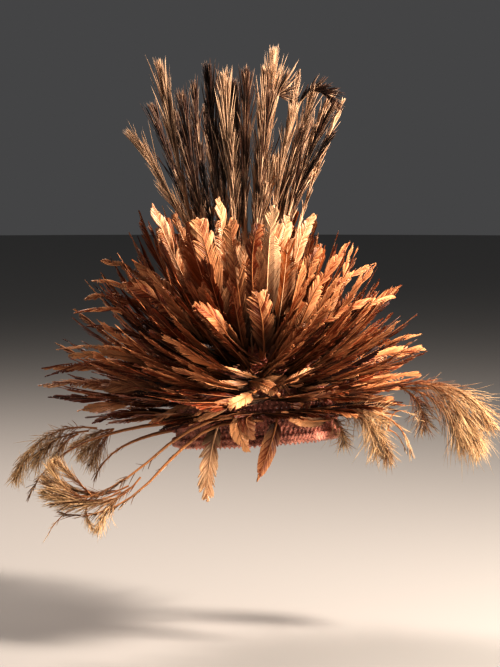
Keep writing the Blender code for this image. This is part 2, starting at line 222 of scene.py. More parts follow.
# The tufts of the side plumes: where each leaves the plume, a point midway and the tip, by their
# places in the picture and their mm towards the viewer, then the length of its barbs in mm
Tuft = namedtuple("Tuft", "plume start via tip fringe style tone")
TUFTS = (
    Tuft("side_plume_1", (140, 478, 112), (100, 503, 114), (42, 493, 116), 22, FLOWING, 0.80),
    Tuft("side_plume_1", (120, 492, 112), (80, 500, 114), (44, 478, 116), 24, FLOWING, 0.66),
    Tuft("side_plume_1", (102, 495, 112), (70, 492, 114), (50, 464, 118), 22, FLOWING, 0.72),
    Tuft("side_plume_1", (130, 488, 110), (112, 504, 112), (98, 530, 112), 12, HANGING, 0.95),
    Tuft("side_plume_1", (78, 506, 114), (60, 518, 114), (46, 538, 112), 9, BARE, 0.62),
    Tuft("side_plume_2", (128, 486, 106), (96, 494, 108), (62, 484, 110), 20, FLOWING, 0.50),
    Tuft("side_plume_2", (92, 496, 110), (76, 480, 112), (56, 462, 114), 18, FLOWING, 0.60),
    Tuft("side_plume_2", (88, 504, 110), (86, 514, 110), (92, 528, 110), 7, HANGING, 0.85),
    Tuft("side_plume_3", (96, 428, 26), (46, 437, 26), (15, 480, 26), 14, HANGING, 0.86),
    Tuft("side_plume_3", (88, 431, 27), (56, 440, 27), (33, 462, 27), 18, HANGING, 0.72),
    Tuft("side_plume_3", (78, 434, 29), (62, 446, 29), (52, 466, 29), 17, HANGING, 0.78),
    Tuft("side_plume_4", (114, 429, -8), (96, 434, -8), (70, 448, -8), 16, HANGING, 0.82),
    Tuft("side_plume_4", (113, 430, -8), (98, 440, -8), (80, 457, -8), 16, HANGING, 0.70),
    Tuft("side_plume_4", (112, 431, -8), (101, 446, -8), (91, 464, -8), 16, HANGING, 0.60),
    Tuft("side_plume_5", (322, 412, 60), (352, 410, 66), (388, 424, 72), 20, FRIZZED, 0.84),
    Tuft("side_plume_5", (334, 413, 62), (364, 420, 68), (378, 456, 72), 18, FRIZZED, 0.78),
    Tuft("side_plume_5", (350, 413, 66), (376, 430, 70), (388, 460, 73), 14, HANGING, 0.56),
    Tuft("side_plume_5", (324, 413, 60), (338, 424, 62), (344, 446, 64), 13, FRIZZED, 0.62),
    Tuft("side_plume_5", (388, 430, 72), (398, 411, 72), (421, 421, 72), 5, BARE, 0.90),
    Tuft("side_plume_5", (388, 430, 72), (398, 436, 72), (406, 452, 72), 5, BARE, 0.80),
    Tuft("side_plume_6", (396, 387, 10), (446, 394, 9), (479, 456, 7), 30, HANGING, 0.84),
    Tuft("side_plume_6", (398, 385, 10), (456, 390, 8), (488, 424, 6), 24, HANGING, 0.66),
    Tuft("side_plume_6", (400, 388, 11), (418, 402, 11), (424, 430, 11), 18, FRIZZED, 0.42),
    Tuft("side_plume_6", (404, 387, 12), (444, 408, 12), (462, 446, 12), 26, HANGING, 0.60),
)

# Short feathers tied to the edge: the knot's place on the dome, then the line as in the rows below
Pinned = namedtuple("Pinned", "name level azimuth via tip width twist style tone")
BRIM_FEATHERS = (
    Pinned("ear_feather", 12, -81, (210, 458, 84), (207, 503, 88), 23, -34, PALE, 0.86),
    Pinned("temple_feather", 12, -41, (270, 446, 92), (256, 484, 94), 20, -14, SMOOTH, 0.58),
    Pinned("curled_feather", 12, -51, (240, 428, 100), (252, 454, 88), 25, -10, SMOOTH, 0.80),
    Pinned("forehead_feather", 8.6, 3, (303, 420, 88), (280, 411, 104), 15, 14, SMOOTH, 1.0),
)

# The photograph's camera
VIEW_AZIMUTH = math.radians(-50)
VIEW_ELEVATION = math.radians(5)
VIEW_DISTANCE = 2.5
LENS_MM = 131
SENSOR_MM = 36
AIM_HEIGHT = 17 * MM
PICTURE_WIDTH, PICTURE_HEIGHT = 500, 667

# Feathers that the photograph shows one by one: the azimuth of the root on its row's ring, then a
# point midway and the tip, each by its place in the picture and its mm towards the viewer, then
# the width in mm and the twist in degrees
Drawn = namedtuple("Drawn", "row azimuth via tip width twist style tone")
DRAWN = (
    Drawn("tier_8_crown", -92, (181, 272, 50), (151, 200, 58), 24, 14, BROAD, 0.60),
    Drawn("tier_8_crown", -84, (197, 275, 55), (173, 212, 60), 21, -14, BROAD, 0.48),
    Drawn("tier_7", -74, (213, 274, 88), (196, 215, 98), 27, 8, BROAD, 0.72),
    Drawn("tier_8_crown", -64, (226, 262, 60), (219, 194, 62), 22, 24, BROAD, 0.74),
    Drawn("tier_7", -58, (236, 276, 84), (230, 216, 92), 23, -4, BROAD, 0.66),
    Drawn("tier_7", -42, (252, 274, 92), (260, 222, 100), 20, 0, PALE, 0.44),
    Drawn("tier_8_crown", -34, (268, 262, 86), (274, 203, 90), 29, -8, BROAD, 1.06),
    Drawn("tier_8_crown", -22, (279, 266, 58), (290, 213, 60), 19, 12, BROAD, 0.70),
    Drawn("tier_8_crown", -8, (293, 268, 52), (315, 211, 50), 15, 10, BROAD, 0.66),
    Drawn("tier_7", -4, (303, 285, 70), (323, 243, 72), 20, -6, BROAD, 0.62),
    Drawn("tier_7", -104, (176, 300, 60), (129, 258, 60), 21, 20, BROAD, 0.55),
    Drawn("tier_6", -98, (170, 310, 70), (120, 282, 66), 21, -12, BROAD, 0.50),
    Drawn("tier_7", -66, (218, 322, 104), (192, 305, 118), 26, 10, PALE, 0.62),
    Drawn("tier_7", -40, (262, 320, 104), (255, 290, 116), 30, -6, PALE, 0.58),
    Drawn("tier_6", -14, (312, 298, 72), (352, 240, 62), 16, 18, BROAD, 0.66),
    Drawn("tier_6", -6, (318, 305, 66), (378, 262, 48), 14, 24, NARROW, 0.68),
    Drawn("tier_5", -2, (326, 320, 70), (400, 297, 40), 11, 6, NARROW, 0.64),
    Drawn("tier_5", -62, (284, 382, 92), (316, 366, 84), 18, -8, PALE, 0.90),
    Drawn("tier_5", -48, (312, 380, 74), (348, 362, 60), 18, -8, PALE, 0.92),
    Drawn("tier_4", -46, (238, 372, 92), (214, 366, 88), 5, -20, NARROW, 0.90),
    Drawn("tier_4", -50, (226, 386, 92), (196, 379, 84), 13, -16, NARROW, 0.78),
    Drawn("tier_4", -60, (262, 384, 100), (281, 396, 100), 17, -10, PALE, 0.70),
    Drawn("tier_3", -52, (243, 399, 116), (226, 408, 124), 14, -6, PALE, 0.94),
    Drawn("tier_2", -42, (222, 410, 112), (187, 427, 114), 8, 10, NARROW, 0.86),
    Drawn("tier_2", -36, (226, 403, 114), (192, 417, 116), 9, -10, NARROW, 0.66),
    Drawn("tier_1_brim", -54, (246, 421, 100), (257, 441, 96), 22, -6, SMOOTH, 0.56),
    Drawn("tier_3", -66, (196, 402, 78), (146, 425, 66), 12, 12, NARROW, 0.72),
    Drawn("tier_2", -60, (196, 394, 84), (152, 408, 72), 14, 24, NARROW, 0.40),
    Drawn("tier_3", -76, (200, 386, 78), (150, 398, 62), 14, -40, NARROW, 0.45),
    Drawn("tier_2", -24, (302, 404, 84), (282, 392, 92), 20, 20, BROAD, 0.48),
    Drawn("tier_3", -20, (310, 392, 76), (352, 396, 62), 16, 34, NARROW, 0.62),
    Drawn("tier_2", -132, (112, 385, 6), (34, 386, 0), 16, 18, NARROW, 0.60),
    Drawn("tier_3", -128, (118, 369, 10), (37, 369, 4), 14, -16, NARROW, 0.50),
    Drawn("tier_3", -136, (120, 363, -4), (42, 378, -8), 15, 20, NARROW, 0.34),
    Drawn("tier_4", -130, (124, 351, 8), (54, 350, 4), 11, 28, NARROW, 0.86),
    Drawn("tier_4", -122, (132, 358, 18), (66, 357, 14), 12, -30, NARROW, 0.95),
    Drawn("tier_2", -126, (126, 399, 14), (43, 397, 8), 15, 14, NARROW, 0.30),
    Drawn("tier_2", -120, (132, 403, 20), (76, 411, 14), 14, 20, NARROW, 0.85),
    Drawn("tier_1_brim", -130, (132, 412, 4), (90, 424, 0), 13, 20, NARROW, 0.30),
    Drawn("tier_2", -116, (146, 388, 30), (96, 388, 24), 17, 16, NARROW, 0.66),
    Drawn("tier_3", -112, (150, 378, 34), (104, 372, 30), 16, -20, NARROW, 0.40),
    Drawn("tier_5", -128, (142, 338, 8), (83, 326, 4), 7, 20, NARROW, 0.40),
    Drawn("tier_5", -118, (140, 318, 22), (70, 314, 18), 8, 6, NARROW, 0.56),
    Drawn("tier_6", -122, (140, 306, 14), (82, 300, 10), 9, -10, NARROW, 0.55),
    Drawn("tier_6", -112, (146, 300, 26), (89, 281, 22), 10, 8, NARROW, 0.62),
    Drawn("tier_7", -118, (152, 286, 18), (98, 261, 14), 9, -6, NARROW, 0.66),
    Drawn("tier_4", 32, (352, 353, 6), (427, 333, 0), 13, 14, NARROW, 0.66),
    Drawn("tier_3", 26, (356, 362, 14), (428, 348, 4), 16, 10, PALE, 0.74),
    Drawn("tier_3", 36, (352, 381, 0), (425, 373, -8), 12, -10, NARROW, 0.66),
    Drawn("tier_2", 26, (346, 391, 18), (412, 384, 8), 14, 20, NARROW, 0.66),
    Drawn("tier_2", 18, (342, 398, 26), (399, 400, 18), 13, 10, NARROW, 0.78),
    Drawn("tier_5", 30, (354, 324, 6), (404, 283, 0), 14, 30, NARROW, 0.60),
    Drawn("tier_6", 22, (342, 306, 12), (378, 262, 6), 13, -26, NARROW, 0.66),
    Drawn("tier_6", 34, (336, 296, -6), (354, 240, -8), 12, 20, NARROW, 0.80),
    Drawn("top_plumes", -10, (290, 128, 40), (334, 105, 52), 7, 0, BRUSH, 0.15),
    Drawn("top_plumes", -48, (264, 150, 44), (280, 96, 50), 9, 0, BRUSH, 0.60),
)

# How unlike one another the feathers that fill a row are. Lengths and breadths are shares of the
# row's own, and angles are degrees.
FILL_LENGTHS = (0.62, 1.0)
FILL_BREADTHS = (0.7, 1.0)
FILL_LIFT = 7
FILL_CURL = 9
FILL_BOW = 14
FILL_TWIST = 30

# Feathers on each parted row that lie along the cap at the parting, how far from it they start, and
# how near to it they may turn to either side
CROSSING_COUNT = 12
CROSSING_REACH = 38.0
CROSSING_DOUBT = 12
CROSSING_TURNS = (58, 84)
CROSSING_LIFT = 6
CROSSING_LENGTHS = (0.55, 0.95)
CROSSING_BREADTHS = (0.5, 0.8)
CROSSING_TWISTS = (15, 80)
# Painted shade: how much darker the feathers at the parting are, standing for the deep shade there
CROSSING_PAINTED_SHADE = 0.3

# How far the feathers of a row stray from its tone
RING_TONES, FILL_TONES, CROSSING_TONES = 0.24, 0.34, 0.26

# Where each kind of feather starts to count for its own chance
FILL_SEED, CROSSING_SEED, PLUME_SEED, THIN_PLUME_SEED, DRAWN_SEED, TUFT_SEED = 500, 800, 400, 450, 90, 700


def linear(code):
    """An sRGB hex colour as linear red, green and blue."""
    shares = [int(code[place : place + 2], 16) / 255 for place in (1, 3, 5)]
    return tuple(s / 12.92 if s <= 0.04045 else ((s + 0.055) / 1.055) ** 2.4 for s in shares)


def colour_property(name, code, about):
    return FloatVectorProperty(
        name=name, description=about, default=linear(code), subtype="COLOR", min=0, max=1
    )


def length_property(name, size, about):
    return FloatProperty(name=name, description=about, default=size, unit="LENGTH", min=0)


class HeaddressSizes(bpy.types.PropertyGroup):
    net_cord: length_property("Net cord", 1.7 * MM, "Radius of the cord of the cap's net")
    net_loop: length_property("Net loop", 5.0 * MM, "Width of one loop of the net")
    net_row: length_property("Net row", 4.2 * MM, "Height from one row of loops to the next")
    braid_strand: length_property("Braid strand", 2.0 * MM, "Radius of a strand of the braided edge")
    lashing: length_property("Lashing", 1.15 * MM, "Radius of a ply of the cord that binds the quills")
    vane_thickness: length_property("Vane thickness", 0.30 * MM, "Half the thickness of a barb")


class HeaddressColours(bpy.types.PropertyGroup):
    # Painted shade: the dark root colour is the feathers' own darker base and also painted shade near the cap
    feather_root_dye_and_shade: colour_property("Feather, root", "#100302", "Vane beside the cap")
    feather_dark: colour_property("Feather, dark", "#260803", "Vane of the darkest feathers")
    feather_mid: colour_property("Feather, rust", "#7f370f", "Vane of most feathers")
    feather_light: colour_property("Feather, gold", "#e6b080", "Vane of the lightest feathers")
    crown_mid: colour_property("Crown feather", "#9f5c2b", "Vane of most crown feathers")
    crown_light: colour_property("Crown feather, light", "#f1caa2", "Vane of the lightest crown feathers")
    plume_dark: colour_property("Plume, dark", "#170d09", "Barbs of the darkest plumes")
    plume_mid: colour_property("Plume, brown", "#5a3826", "Barbs of most plumes")
    plume_light: colour_property("Plume, tan", "#dcbc9c", "Lightest barbs and the stems of the plumes")
    down_mid: colour_property("Down, brown", "#6e4020", "Down of most side plumes")
    down_light: colour_property("Down, gold", "#f2d2a6", "Lightest down")
    quill_horn: colour_property("Quill", "#b47f54", "Horn of the quills")
    cord_red: colour_property("Cord", "#dc9c88", "Dyed plant-fibre cord")
    # Darker cord: real soiling in patches, and painted shade in the fibres' hollows
    cord_soil_and_shade: colour_property("Cord, soiled and shaded", "#5c2a20", "Cord in its hollows and where it is soiled")


def sizes():
    return bpy.context.scene.headdress_sizes


def colours():
    return bpy.context.scene.headdress_colours


def solid(colour):
    """The colour with no light let through."""
    return (*colour, 1.0)


def add_node(tree, kind, settings=None, stops=(), **links):
    """Adds a node, sets its settings and colour stops, and gives each input a value or a link.

    An input's key is its name, with _ for a space, or i and its number.
    """
    node = tree.nodes.new(kind)
    for key, value in (settings or {}).items():
        setattr(node, key, value)
    if stops:
        band = node.color_ramp.elements
        for place, colour in stops[1:-1]:
            band.new(place).color = solid(colour)
        for end in (0, -1):
            band[end].position, band[end].color = stops[end][0], solid(stops[end][1])
    for key, value in links.items():
        socket = node.inputs[int(key[1:])] if key[1:].isdigit() else node.inputs[key.replace("_", " ")]
        if isinstance(value, bpy.types.NodeSocket):
            tree.links.new(value, socket)
        else:
            socket.default_value = value
    return node


def new_material(name):
    """An empty material and what adds nodes to it."""
    made = bpy.data.materials.new(name)
    made.use_nodes = True
    made.node_tree.nodes.clear()
    return made, partial(add_node, made.node_tree)


# Real sizes of what the materials' noises stand for
BLOTCH = 14 * MM  # patches of a feather that the sun has bleached
BARBULE = 1.1 * MM  # rows of barbules, drawn coarser than the real 0.3 mm so that they show
SOILING = 11 * MM  # patches where the cord is handled and soiled
FIBRE = 0.7 * MM  # fibres of the twisted cord

# How far bleaching, barbules and the barb's reach lighten or darken a vane. The lightening towards a barb's
# tip is partly the vane's own paler edge and partly a painted highlight on its outline.
BLOTCH_TONES, BARBULE_TONES, EDGE_TONES_AND_HIGHLIGHT = 0.5, 0.24, 0.24

# A finish of feather keratin: the names of its colours, then its roughness and its sheen
Keratin = namedtuple("Keratin", "dark mid light quill root roughness sheen")
KERATINS = {
    # Silky rust vanes, gold on the lightest feathers and in bleached patches, with a painted highlight at the
    # barbs' tips, and near black at the root by their own dye and by painted shade
    "Rust feather keratin": Keratin(
        "feather_dark", "feather_mid", "feather_light", "quill_horn", "feather_root_dye_and_shade", 0.42, 0.14
    ),
    # Paler vanes of the crown, with a peach gloss on their broad flats, darker towards the root by their own
    # colour and by painted shade
    "Light feather keratin": Keratin(
        "feather_mid", "crown_mid", "crown_light", "crown_light", "feather_dark", 0.40, 0.18
    ),
    # Dull brown-black brushes with greyish mauve-tan barbs and cream stems
    "Dark plume keratin": Keratin(
        "plume_dark", "plume_mid", "plume_light", "plume_light", "plume_light", 0.55, 0.30
    ),
    # Soft down: golden at its ends, partly its own colour and partly painted light as if shining through it,
    # and dark brown within
    "Golden down keratin": Keratin(
        "plume_dark", "down_mid", "down_light", "quill_horn", "feather_mid", 0.55, 0.45
    ),
}


def feather_material(name, finish):
    """Feather keratin, grown as barbs: silky along each barb, with its own dark base and painted shade at the
    root.

    The mesh gives each point its place along the feather, its reach along the barb and the
    tone of the feather, so that the colour runs along the vane, with a painted highlight towards the barbs'
    tips.
    """
    dark, mid, light, quill, root = (getattr(colours(), part) for part in finish[:5])
    made, node = new_material(name)
    place = node("ShaderNodeAttribute", {"attribute_name": "place"}).outputs["Vector"]
    along, reach, tone = node("ShaderNodeSeparateXYZ", Vector=place).outputs
    quills = node("ShaderNodeAttribute", {"attribute_name": "quill"}).outputs["Fac"]
    where = node("ShaderNodeTexCoord").outputs["Object"]
    blotch = node("ShaderNodeTexNoise", Vector=where, Scale=1 / BLOTCH, Detail=3.0, Roughness=0.6)
    fleck = node("ShaderNodeTexNoise", Vector=where, Scale=1 / BARBULE, Detail=1.0).outputs["Fac"]
    scaled, added = {"operation": "MULTIPLY_ADD"}, {"operation": "ADD"}
    drift = node("ShaderNodeMath", scaled, i0=blotch.outputs["Fac"], i1=BLOTCH_TONES, i2=-BLOTCH_TONES / 2)
    grain = node("ShaderNodeMath", scaled, i0=fleck, i1=BARBULE_TONES, i2=-BARBULE_TONES / 2)
    # Painted highlight: the barb's reach lightens it towards its tip, partly the vane's own paler edge
    edge = node("ShaderNodeMath", scaled, i0=reach, i1=EDGE_TONES_AND_HIGHLIGHT, i2=tone)
    mottled = node("ShaderNodeMath", added, i0=edge.outputs[0], i1=drift.outputs[0])
    shade = node("ShaderNodeMath", added, i0=mottled.outputs[0], i1=grain.outputs[0]).outputs[0]
    vane = node("ShaderNodeValToRGB", stops=((0.1, dark), (0.5, mid), (1.0, light)), Fac=shade).outputs[0]
    # Painted shade: the vane darkens to the root colour over its inner half, partly its own darker base and
    # partly painted shade near the cap
    rootward_shade = node("ShaderNodeValToRGB", stops=((0.06, (1, 1, 1)), (0.56, (0, 0, 0))), Fac=along).outputs[0]
    rooted = node("ShaderNodeMix", {"data_type": "RGBA"}, i0=rootward_shade, i6=vane, i7=solid(root)).outputs[2]
    horned = node("ShaderNodeMix", {"data_type": "RGBA"}, i0=quills, i6=rooted, i7=solid(quill)).outputs[2]
    dullest, silkiest = finish.roughness + 0.10, finish.roughness - 0.08
    shine = node("ShaderNodeMapRange", Value=fleck, To_Min=silkiest, To_Max=dullest)
    relief = node("ShaderNodeBump", Height=fleck, Strength=0.35, Distance=0.15 * MM)
    shader = node(
        "ShaderNodeBsdfPrincipled",
        Base_Color=horned,
        Roughness=shine.outputs["Result"],
        Normal=relief.outputs["Normal"],
        IOR=1.54,
        Specular_IOR_Level=0.36,
        Sheen_Weight=finish.sheen,
        Sheen_Roughness=0.35,
        Sheen_Tint=solid(light),
    )
    node("ShaderNodeOutputMaterial", Surface=shader.outputs["BSDF"])
    return made


def cord_material(name):
    """Hand-twisted plant fibre in red dye: matte, with fine strands, soiled patches and painted shade in the
    fibres' hollows, and a pale pink painted highlight on their ridges.
    """
    made, node = new_material(name)
    red, dark = colours().cord_red, colours().cord_soil_and_shade
    where = node("ShaderNodeTexCoord").outputs["Object"]
    soil = node("ShaderNodeTexNoise", Vector=where, Scale=1 / SOILING, Detail=4.0, Roughness=0.65)
    fibre = node("ShaderNodeTexNoise", Vector=where, Scale=1 / FIBRE, Detail=2.0, Distortion=0.8)
    strands = fibre.outputs["Fac"]
    # Low soiling or fibre noise darkens the cord: soiling, and painted shade in the fibres' hollows, which
    # the bump sinks
    both = node("ShaderNodeMath", {"operation": "MULTIPLY"}, i0=soil.outputs["Fac"], i1=strands).outputs[0]
    # Painted highlight: the pale pink stop on the fibres' ridges, which the bump raises
    painted_ridge_highlight = tuple(min(1, 1.5 * part) for part in red)
    dye_shade_and_highlight = node("ShaderNodeValToRGB", stops=((0.14, dark), (0.24, red), (0.36, painted_ridge_highlight)), Fac=both)
    relief = node("ShaderNodeBump", Height=strands, Strength=0.7, Distance=0.35 * MM)
    shader = node(
        "ShaderNodeBsdfPrincipled",
        Base_Color=dye_shade_and_highlight.outputs[0],
        Normal=relief.outputs["Normal"],
        Roughness=0.86,
        IOR=1.5,
        Sheen_Weight=0.25,
    )
    node("ShaderNodeOutputMaterial", Surface=shader.outputs["BSDF"])
    return made


def material(name):
    """The finish of that name, made the first time that it is asked for."""
    found = bpy.data.materials.get(name)
    if found:
        return found
    return feather_material(name, KERATINS[name]) if name in KERATINS else cord_material(name)


# A strand to copy: the ring that each point is on and its place across it, then the faces' points
# in one list, how many each face has, and whether the strand is shaded round
Master = namedtuple("Master", "ring x y loops totals rounded")


def strand_master(rings, corners, rounded):
    """One pointed strand: a small polygon extruded from ring to ring, its last ring merged."""
    bm = bmesh.new()
    bmesh.ops.create_circle(bm, cap_ends=True, segments=corners, radius=1)
    bm.faces.ensure_lookup_table()
    face = bm.faces[0]
    for _ in range(rings - 1):
        face = bmesh.ops.extrude_discrete_faces(bm, faces=[face])["faces"][0]
        bmesh.ops.translate(bm, verts=face.verts, vec=(0, 0, 1))
    bmesh.ops.pointmerge(bm, verts=face.verts, merge_co=(0, 0, rings - 1))
    bmesh.ops.recalc_face_normals(bm, faces=bm.faces)
    bm.verts.index_update()
    places = np.array([vert.co for vert in bm.verts])
    loops = [vert.index for face in bm.faces for vert in face.verts]
    totals = [len(face.verts) for face in bm.faces]
    bm.free()
    ring = places[:, 2].round().astype(int)
    return Master(ring, places[:, 0], places[:, 1], np.array(loops), np.array(totals), rounded)


BARB = strand_master(4, 3, False)
HAIR = strand_master(5, 3, True)
QUILL = strand_master(10, 5, True)

# Rings of many like strands. centre, across and rise are (strands, rings, 3) arrays, half and
# thick are (strands, rings), and place holds the three numbers that the materials read.
Strands = namedtuple("Strands", "master centre across rise half thick place quill")


def unit(vectors):
    return vectors / np.maximum(np.linalg.norm(vectors, axis=-1, keepdims=True), 1e-12)


TILT = np.array(
    (
        (1, 0, 0),
        (0, math.cos(WORN_TILT), math.sin(WORN_TILT)),
        (0, -math.sin(WORN_TILT), math.cos(WORN_TILT)),
    )
)


def worn(points):
    """Turns points from the level cap to the tilt at which it is worn."""
    return points @ TILT.T


def joined_mesh(name, groups):
    """One mesh of closed strands, each laid from its master by arrays."""
    points, loops, totals, places, quills, rounded, first = [], [], [], [], [], [], 0
    for group in groups:
        master, many = group.master, len(group.centre)
        ring = master.ring
        laid = (
            group.centre[:, ring]
            + group.across[:, ring] * (group.half[:, ring] * master.x)[..., None]
            + group.rise[:, ring] * (group.thick[:, ring] * master.y)[..., None]
        )
        points.append(laid.reshape(-1, 3))
        places.append(group.place[:, ring].reshape(-1, 3))
        quills.append(np.full(many * len(ring), group.quill))
        starts = first + len(ring) * np.arange(many)[:, None]
        loops.append((starts + master.loops).ravel())
        totals.append(np.tile(master.totals, many))
        rounded.append(np.full(many * len(master.totals), master.rounded))
        first += many * len(ring)
    points, loops, totals = worn(np.concatenate(points)), np.concatenate(loops), np.concatenate(totals)
    mesh = bpy.data.meshes.new(name)
    mesh.vertices.add(len(points))
    mesh.vertices.foreach_set("co", points.astype(np.float32).ravel())
    mesh.loops.add(len(loops))
    mesh.polygons.add(len(totals))
    mesh.polygons.foreach_set("loop_start", np.concatenate(([0], np.cumsum(totals)[:-1])).astype(np.int32))
    mesh.polygons.foreach_set("vertices", loops.astype(np.int32))
    mesh.update(calc_edges=True)
    mesh.polygons.foreach_set("use_smooth", np.concatenate(rounded))
    place = mesh.attributes.new("place", "FLOAT_VECTOR", "POINT")
    place.data.foreach_set("vector", np.concatenate(places).astype(np.float32).ravel())
    quill = mesh.attributes.new("quill", "FLOAT", "POINT")
    quill.data.foreach_set("value", np.concatenate(quills).astype(np.float32))
    return mesh


def add_piece(name, mesh, finish, slot, *replaced):
    """A finished piece: it rides on the headdress and stands for the solids named last."""
    mesh.materials.append(material(finish))
    piece = bpy.data.objects.new(name, mesh)
    bpy.context.scene.collection.objects.link(piece)
    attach(piece, "root")
    if replaced:
        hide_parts(*replaced)
    return piece


def dome_frame(azimuth, level):
    """Points, normals and meridians of the dome inside the cap, as in the part's solids."""
    azimuth, level = np.broadcast_arrays(np.asarray(azimuth, float), np.asarray(level, float))
    power = 2 / DOME_FULLNESS
    ring, rise = np.cos(level) ** power, np.maximum(np.sin(level), 0) ** power
    east, south = np.sin(azimuth), -np.cos(azimuth)
    places = (HEAD_HALF_WIDTH * ring * east, HEAD_HALF_DEPTH * ring * south, CROWN_HEIGHT * (rise - 1))
    point = np.stack(places, -1)
    outward = ring ** (DOME_FULLNESS - 1)
    upward = rise ** (DOME_FULLNESS - 1) / CROWN_HEIGHT
    normal = unit(np.stack((outward * east / HEAD_HALF_WIDTH, outward * south / HEAD_HALF_DEPTH, upward), -1))
    around = np.stack((HEAD_HALF_WIDTH * np.cos(azimuth), HEAD_HALF_DEPTH * np.sin(azimuth), 0 * azimuth), -1)
    meridian = -unit(np.cross(around, normal))
    return point, normal, meridian


def on_dome(azimuth, level, out, up, along=0.0):
    """Points by how far out from the dome, up it and round it they lie from a place on it."""
    point, normal, meridian = dome_frame(azimuth, level)
    spread = [np.asarray(size, float)[..., None] for size in (out, up, along)]
    return point + normal * spread[0] + meridian * spread[1] + np.cross(meridian, normal) * spread[2]


def chord_drop(level, segments):
    """How far the sides of a ring of straight segments cut inside the round dome."""
    point, normal, _ = dome_frame(0, level)
    return float(normal[:2] @ point[:2]) * (1 - math.cos(math.pi / segments))


def heading(lift, azimuth):
    """The direction of a lift above the horizon at an azimuth."""
    return np.stack((np.cos(lift) * np.sin(azimuth), -np.cos(lift) * np.cos(azimuth), np.sin(lift)), -1)


def seen(across, down, near):
    """A point by its place in the picture and its distance in mm towards the viewer."""
    toward = heading(VIEW_ELEVATION, VIEW_AZIMUTH)
    right = heading(0.0, VIEW_AZIMUTH + math.pi / 2)
    above = np.cross(right, -toward)
    depth = VIEW_DISTANCE - near * MM
    scale = depth * SENSOR_MM / (LENS_MM * PICTURE_HEIGHT)
    point = near * MM * toward + (across - PICTURE_WIDTH / 2) * scale * right
    point = point + (PICTURE_HEIGHT / 2 - down) * scale * above + np.array((0, 0, AIM_HEIGHT))
    return point @ TILT


# A feather's middle line, at every step along it: its points, then the directions of the quill, of
# the vane's side and of its face. A feather's seed starts the chance of its barbs.
Line = namedtuple("Line", "point tangent side normal")
Feather = namedtuple("Feather", "line length width style tone seed")
SHARE = np.linspace(0, 1, LINE_STEPS + 1)


def twisted(tangent, normal, twist):
    """A feather's side and normal along it, turned about its quill by a twist that grows from the root."""
    turn = (twist * np.minimum(1, SHARE / TWIST_STARTS_FULL))[:, None]
    normal = normal * np.cos(turn) + np.cross(tangent, normal) * np.sin(turn)
    return np.cross(tangent, normal), normal


def swept_line(start, azimuth, length, lifts, turns, twist):
    """A feather's middle line as its solid has it, from the lifts and turns along it."""
    middle = (SHARE[1:] + SHARE[:-1]) / 2
    keys_lift, keys_turn = np.linspace(0, 1, len(lifts)), np.linspace(0, 1, len(turns))

    def direction(at, raised=0.0):
        lift = np.interp(at, keys_lift, lifts) + raised
        return heading(lift, azimuth + np.interp(at, keys_turn, turns))

    steps = direction(middle) * length / LINE_STEPS
    point = start + np.concatenate((np.zeros((1, 3)), np.cumsum(steps, axis=0)))
    tangent = direction(SHARE)
    return Line(point, tangent, *twisted(tangent, direction(SHARE, math.pi / 2), twist))


def drawn_line(start, via, tip, face, twist):
    """A smooth line through three points, with its vane turned to a direction and then twisted."""
    bend, share = 2 * via - (start + tip) / 2, SHARE[:, None]
    point = (1 - share) ** 2 * start + 2 * share * (1 - share) * bend + share**2 * tip
    tangent = unit(np.gradient(point, axis=0))
    side = unit(np.cross(tangent, face))
    return Line(point, tangent, *twisted(tangent, np.cross(side, tangent), twist))


def line_length(line):
    return float(np.linalg.norm(np.diff(line.point, axis=0), axis=1).sum())


def along_line(line, share):
    """The line's point and frame at any shares of its length, carried straight on past its end."""
    place = np.asarray(share) * LINE_STEPS
    low = np.clip(np.floor(place).astype(int), 0, LINE_STEPS - 1)
    part = (place - low)[..., None]
    point = line.point[low] + (line.point[low + 1] - line.point[low]) * part
    part = np.clip(part, 0, 1)
    rest = [unit(axis[low] + (axis[low + 1] - axis[low]) * part) for axis in line[1:]]
    return (point, *rest)


VANE_END = 0.985  # the share of a feather's length at which its quill and barbs end
QUILL_TAPER = 0.85


def quill_strand(feather):
    """The quill or stem, thinner towards its tip."""
    share = np.linspace(-0.01, VANE_END, QUILL.ring.max() + 1)[None]
    point, _, side, normal = along_line(feather.line, share)
    girth = feather.style.quill * (1 - QUILL_TAPER * np.clip(share, 0, 1))
    place = np.stack((share, 0 * share, 0 * share + feather.tone), -1)
    return Strands(QUILL, point, side, normal, girth, girth, place, 1.0)


EDGE_TRIES = 40
PAST_EDGE = 1.25


def reach_to_edge(root, angle, outline, half_width, length):
    """How long each barb is, so that it ends on the vane's outline."""
    shares, halves = zip(*outline)
    tries = np.linspace(0, 1, EDGE_TRIES) * (PAST_EDGE * half_width / np.sin(angle))[:, None]
    at = root[:, None] + tries * np.cos(angle)[:, None] / length
    inside = tries * np.sin(angle)[:, None] < half_width * np.interp(at, shares, halves)
    return tries[np.arange(len(root)), np.maximum(inside.sum(axis=1) - 1, 1)]


BARB_RINGS = np.array((0.0, 0.48, 0.88, 1.0))
BARB_TAPER = np.array((1.0, 1.05, 0.92, 0.0))
COMB_TAPER = np.array((1.0, 0.85, 0.38, 0.0))

# How unlike one another the barbs of a feather are: their places on the quill as a share of their
# spacing, their roll in radians and their tones, then the angle, lift and tone of a whole clump
BARB_PLACES, BARB_ROLL, BARB_TONES = 0.15, 0.14, 0.10
CLUMP_ANGLES, CLUMP_LIFTS, CLUMP_TONES = 0.06, 0.05, 0.06
LOOSE_LIFT = 0.8  # how far a loose barb lifts, as a share of how far it swings
BARB_BEND = 0.3  # how far a barb turns towards the tip, as a share of its angle
SHORTEST_BARB = 1.2 * MM
THINNEST_BARB = 0.3 * MM


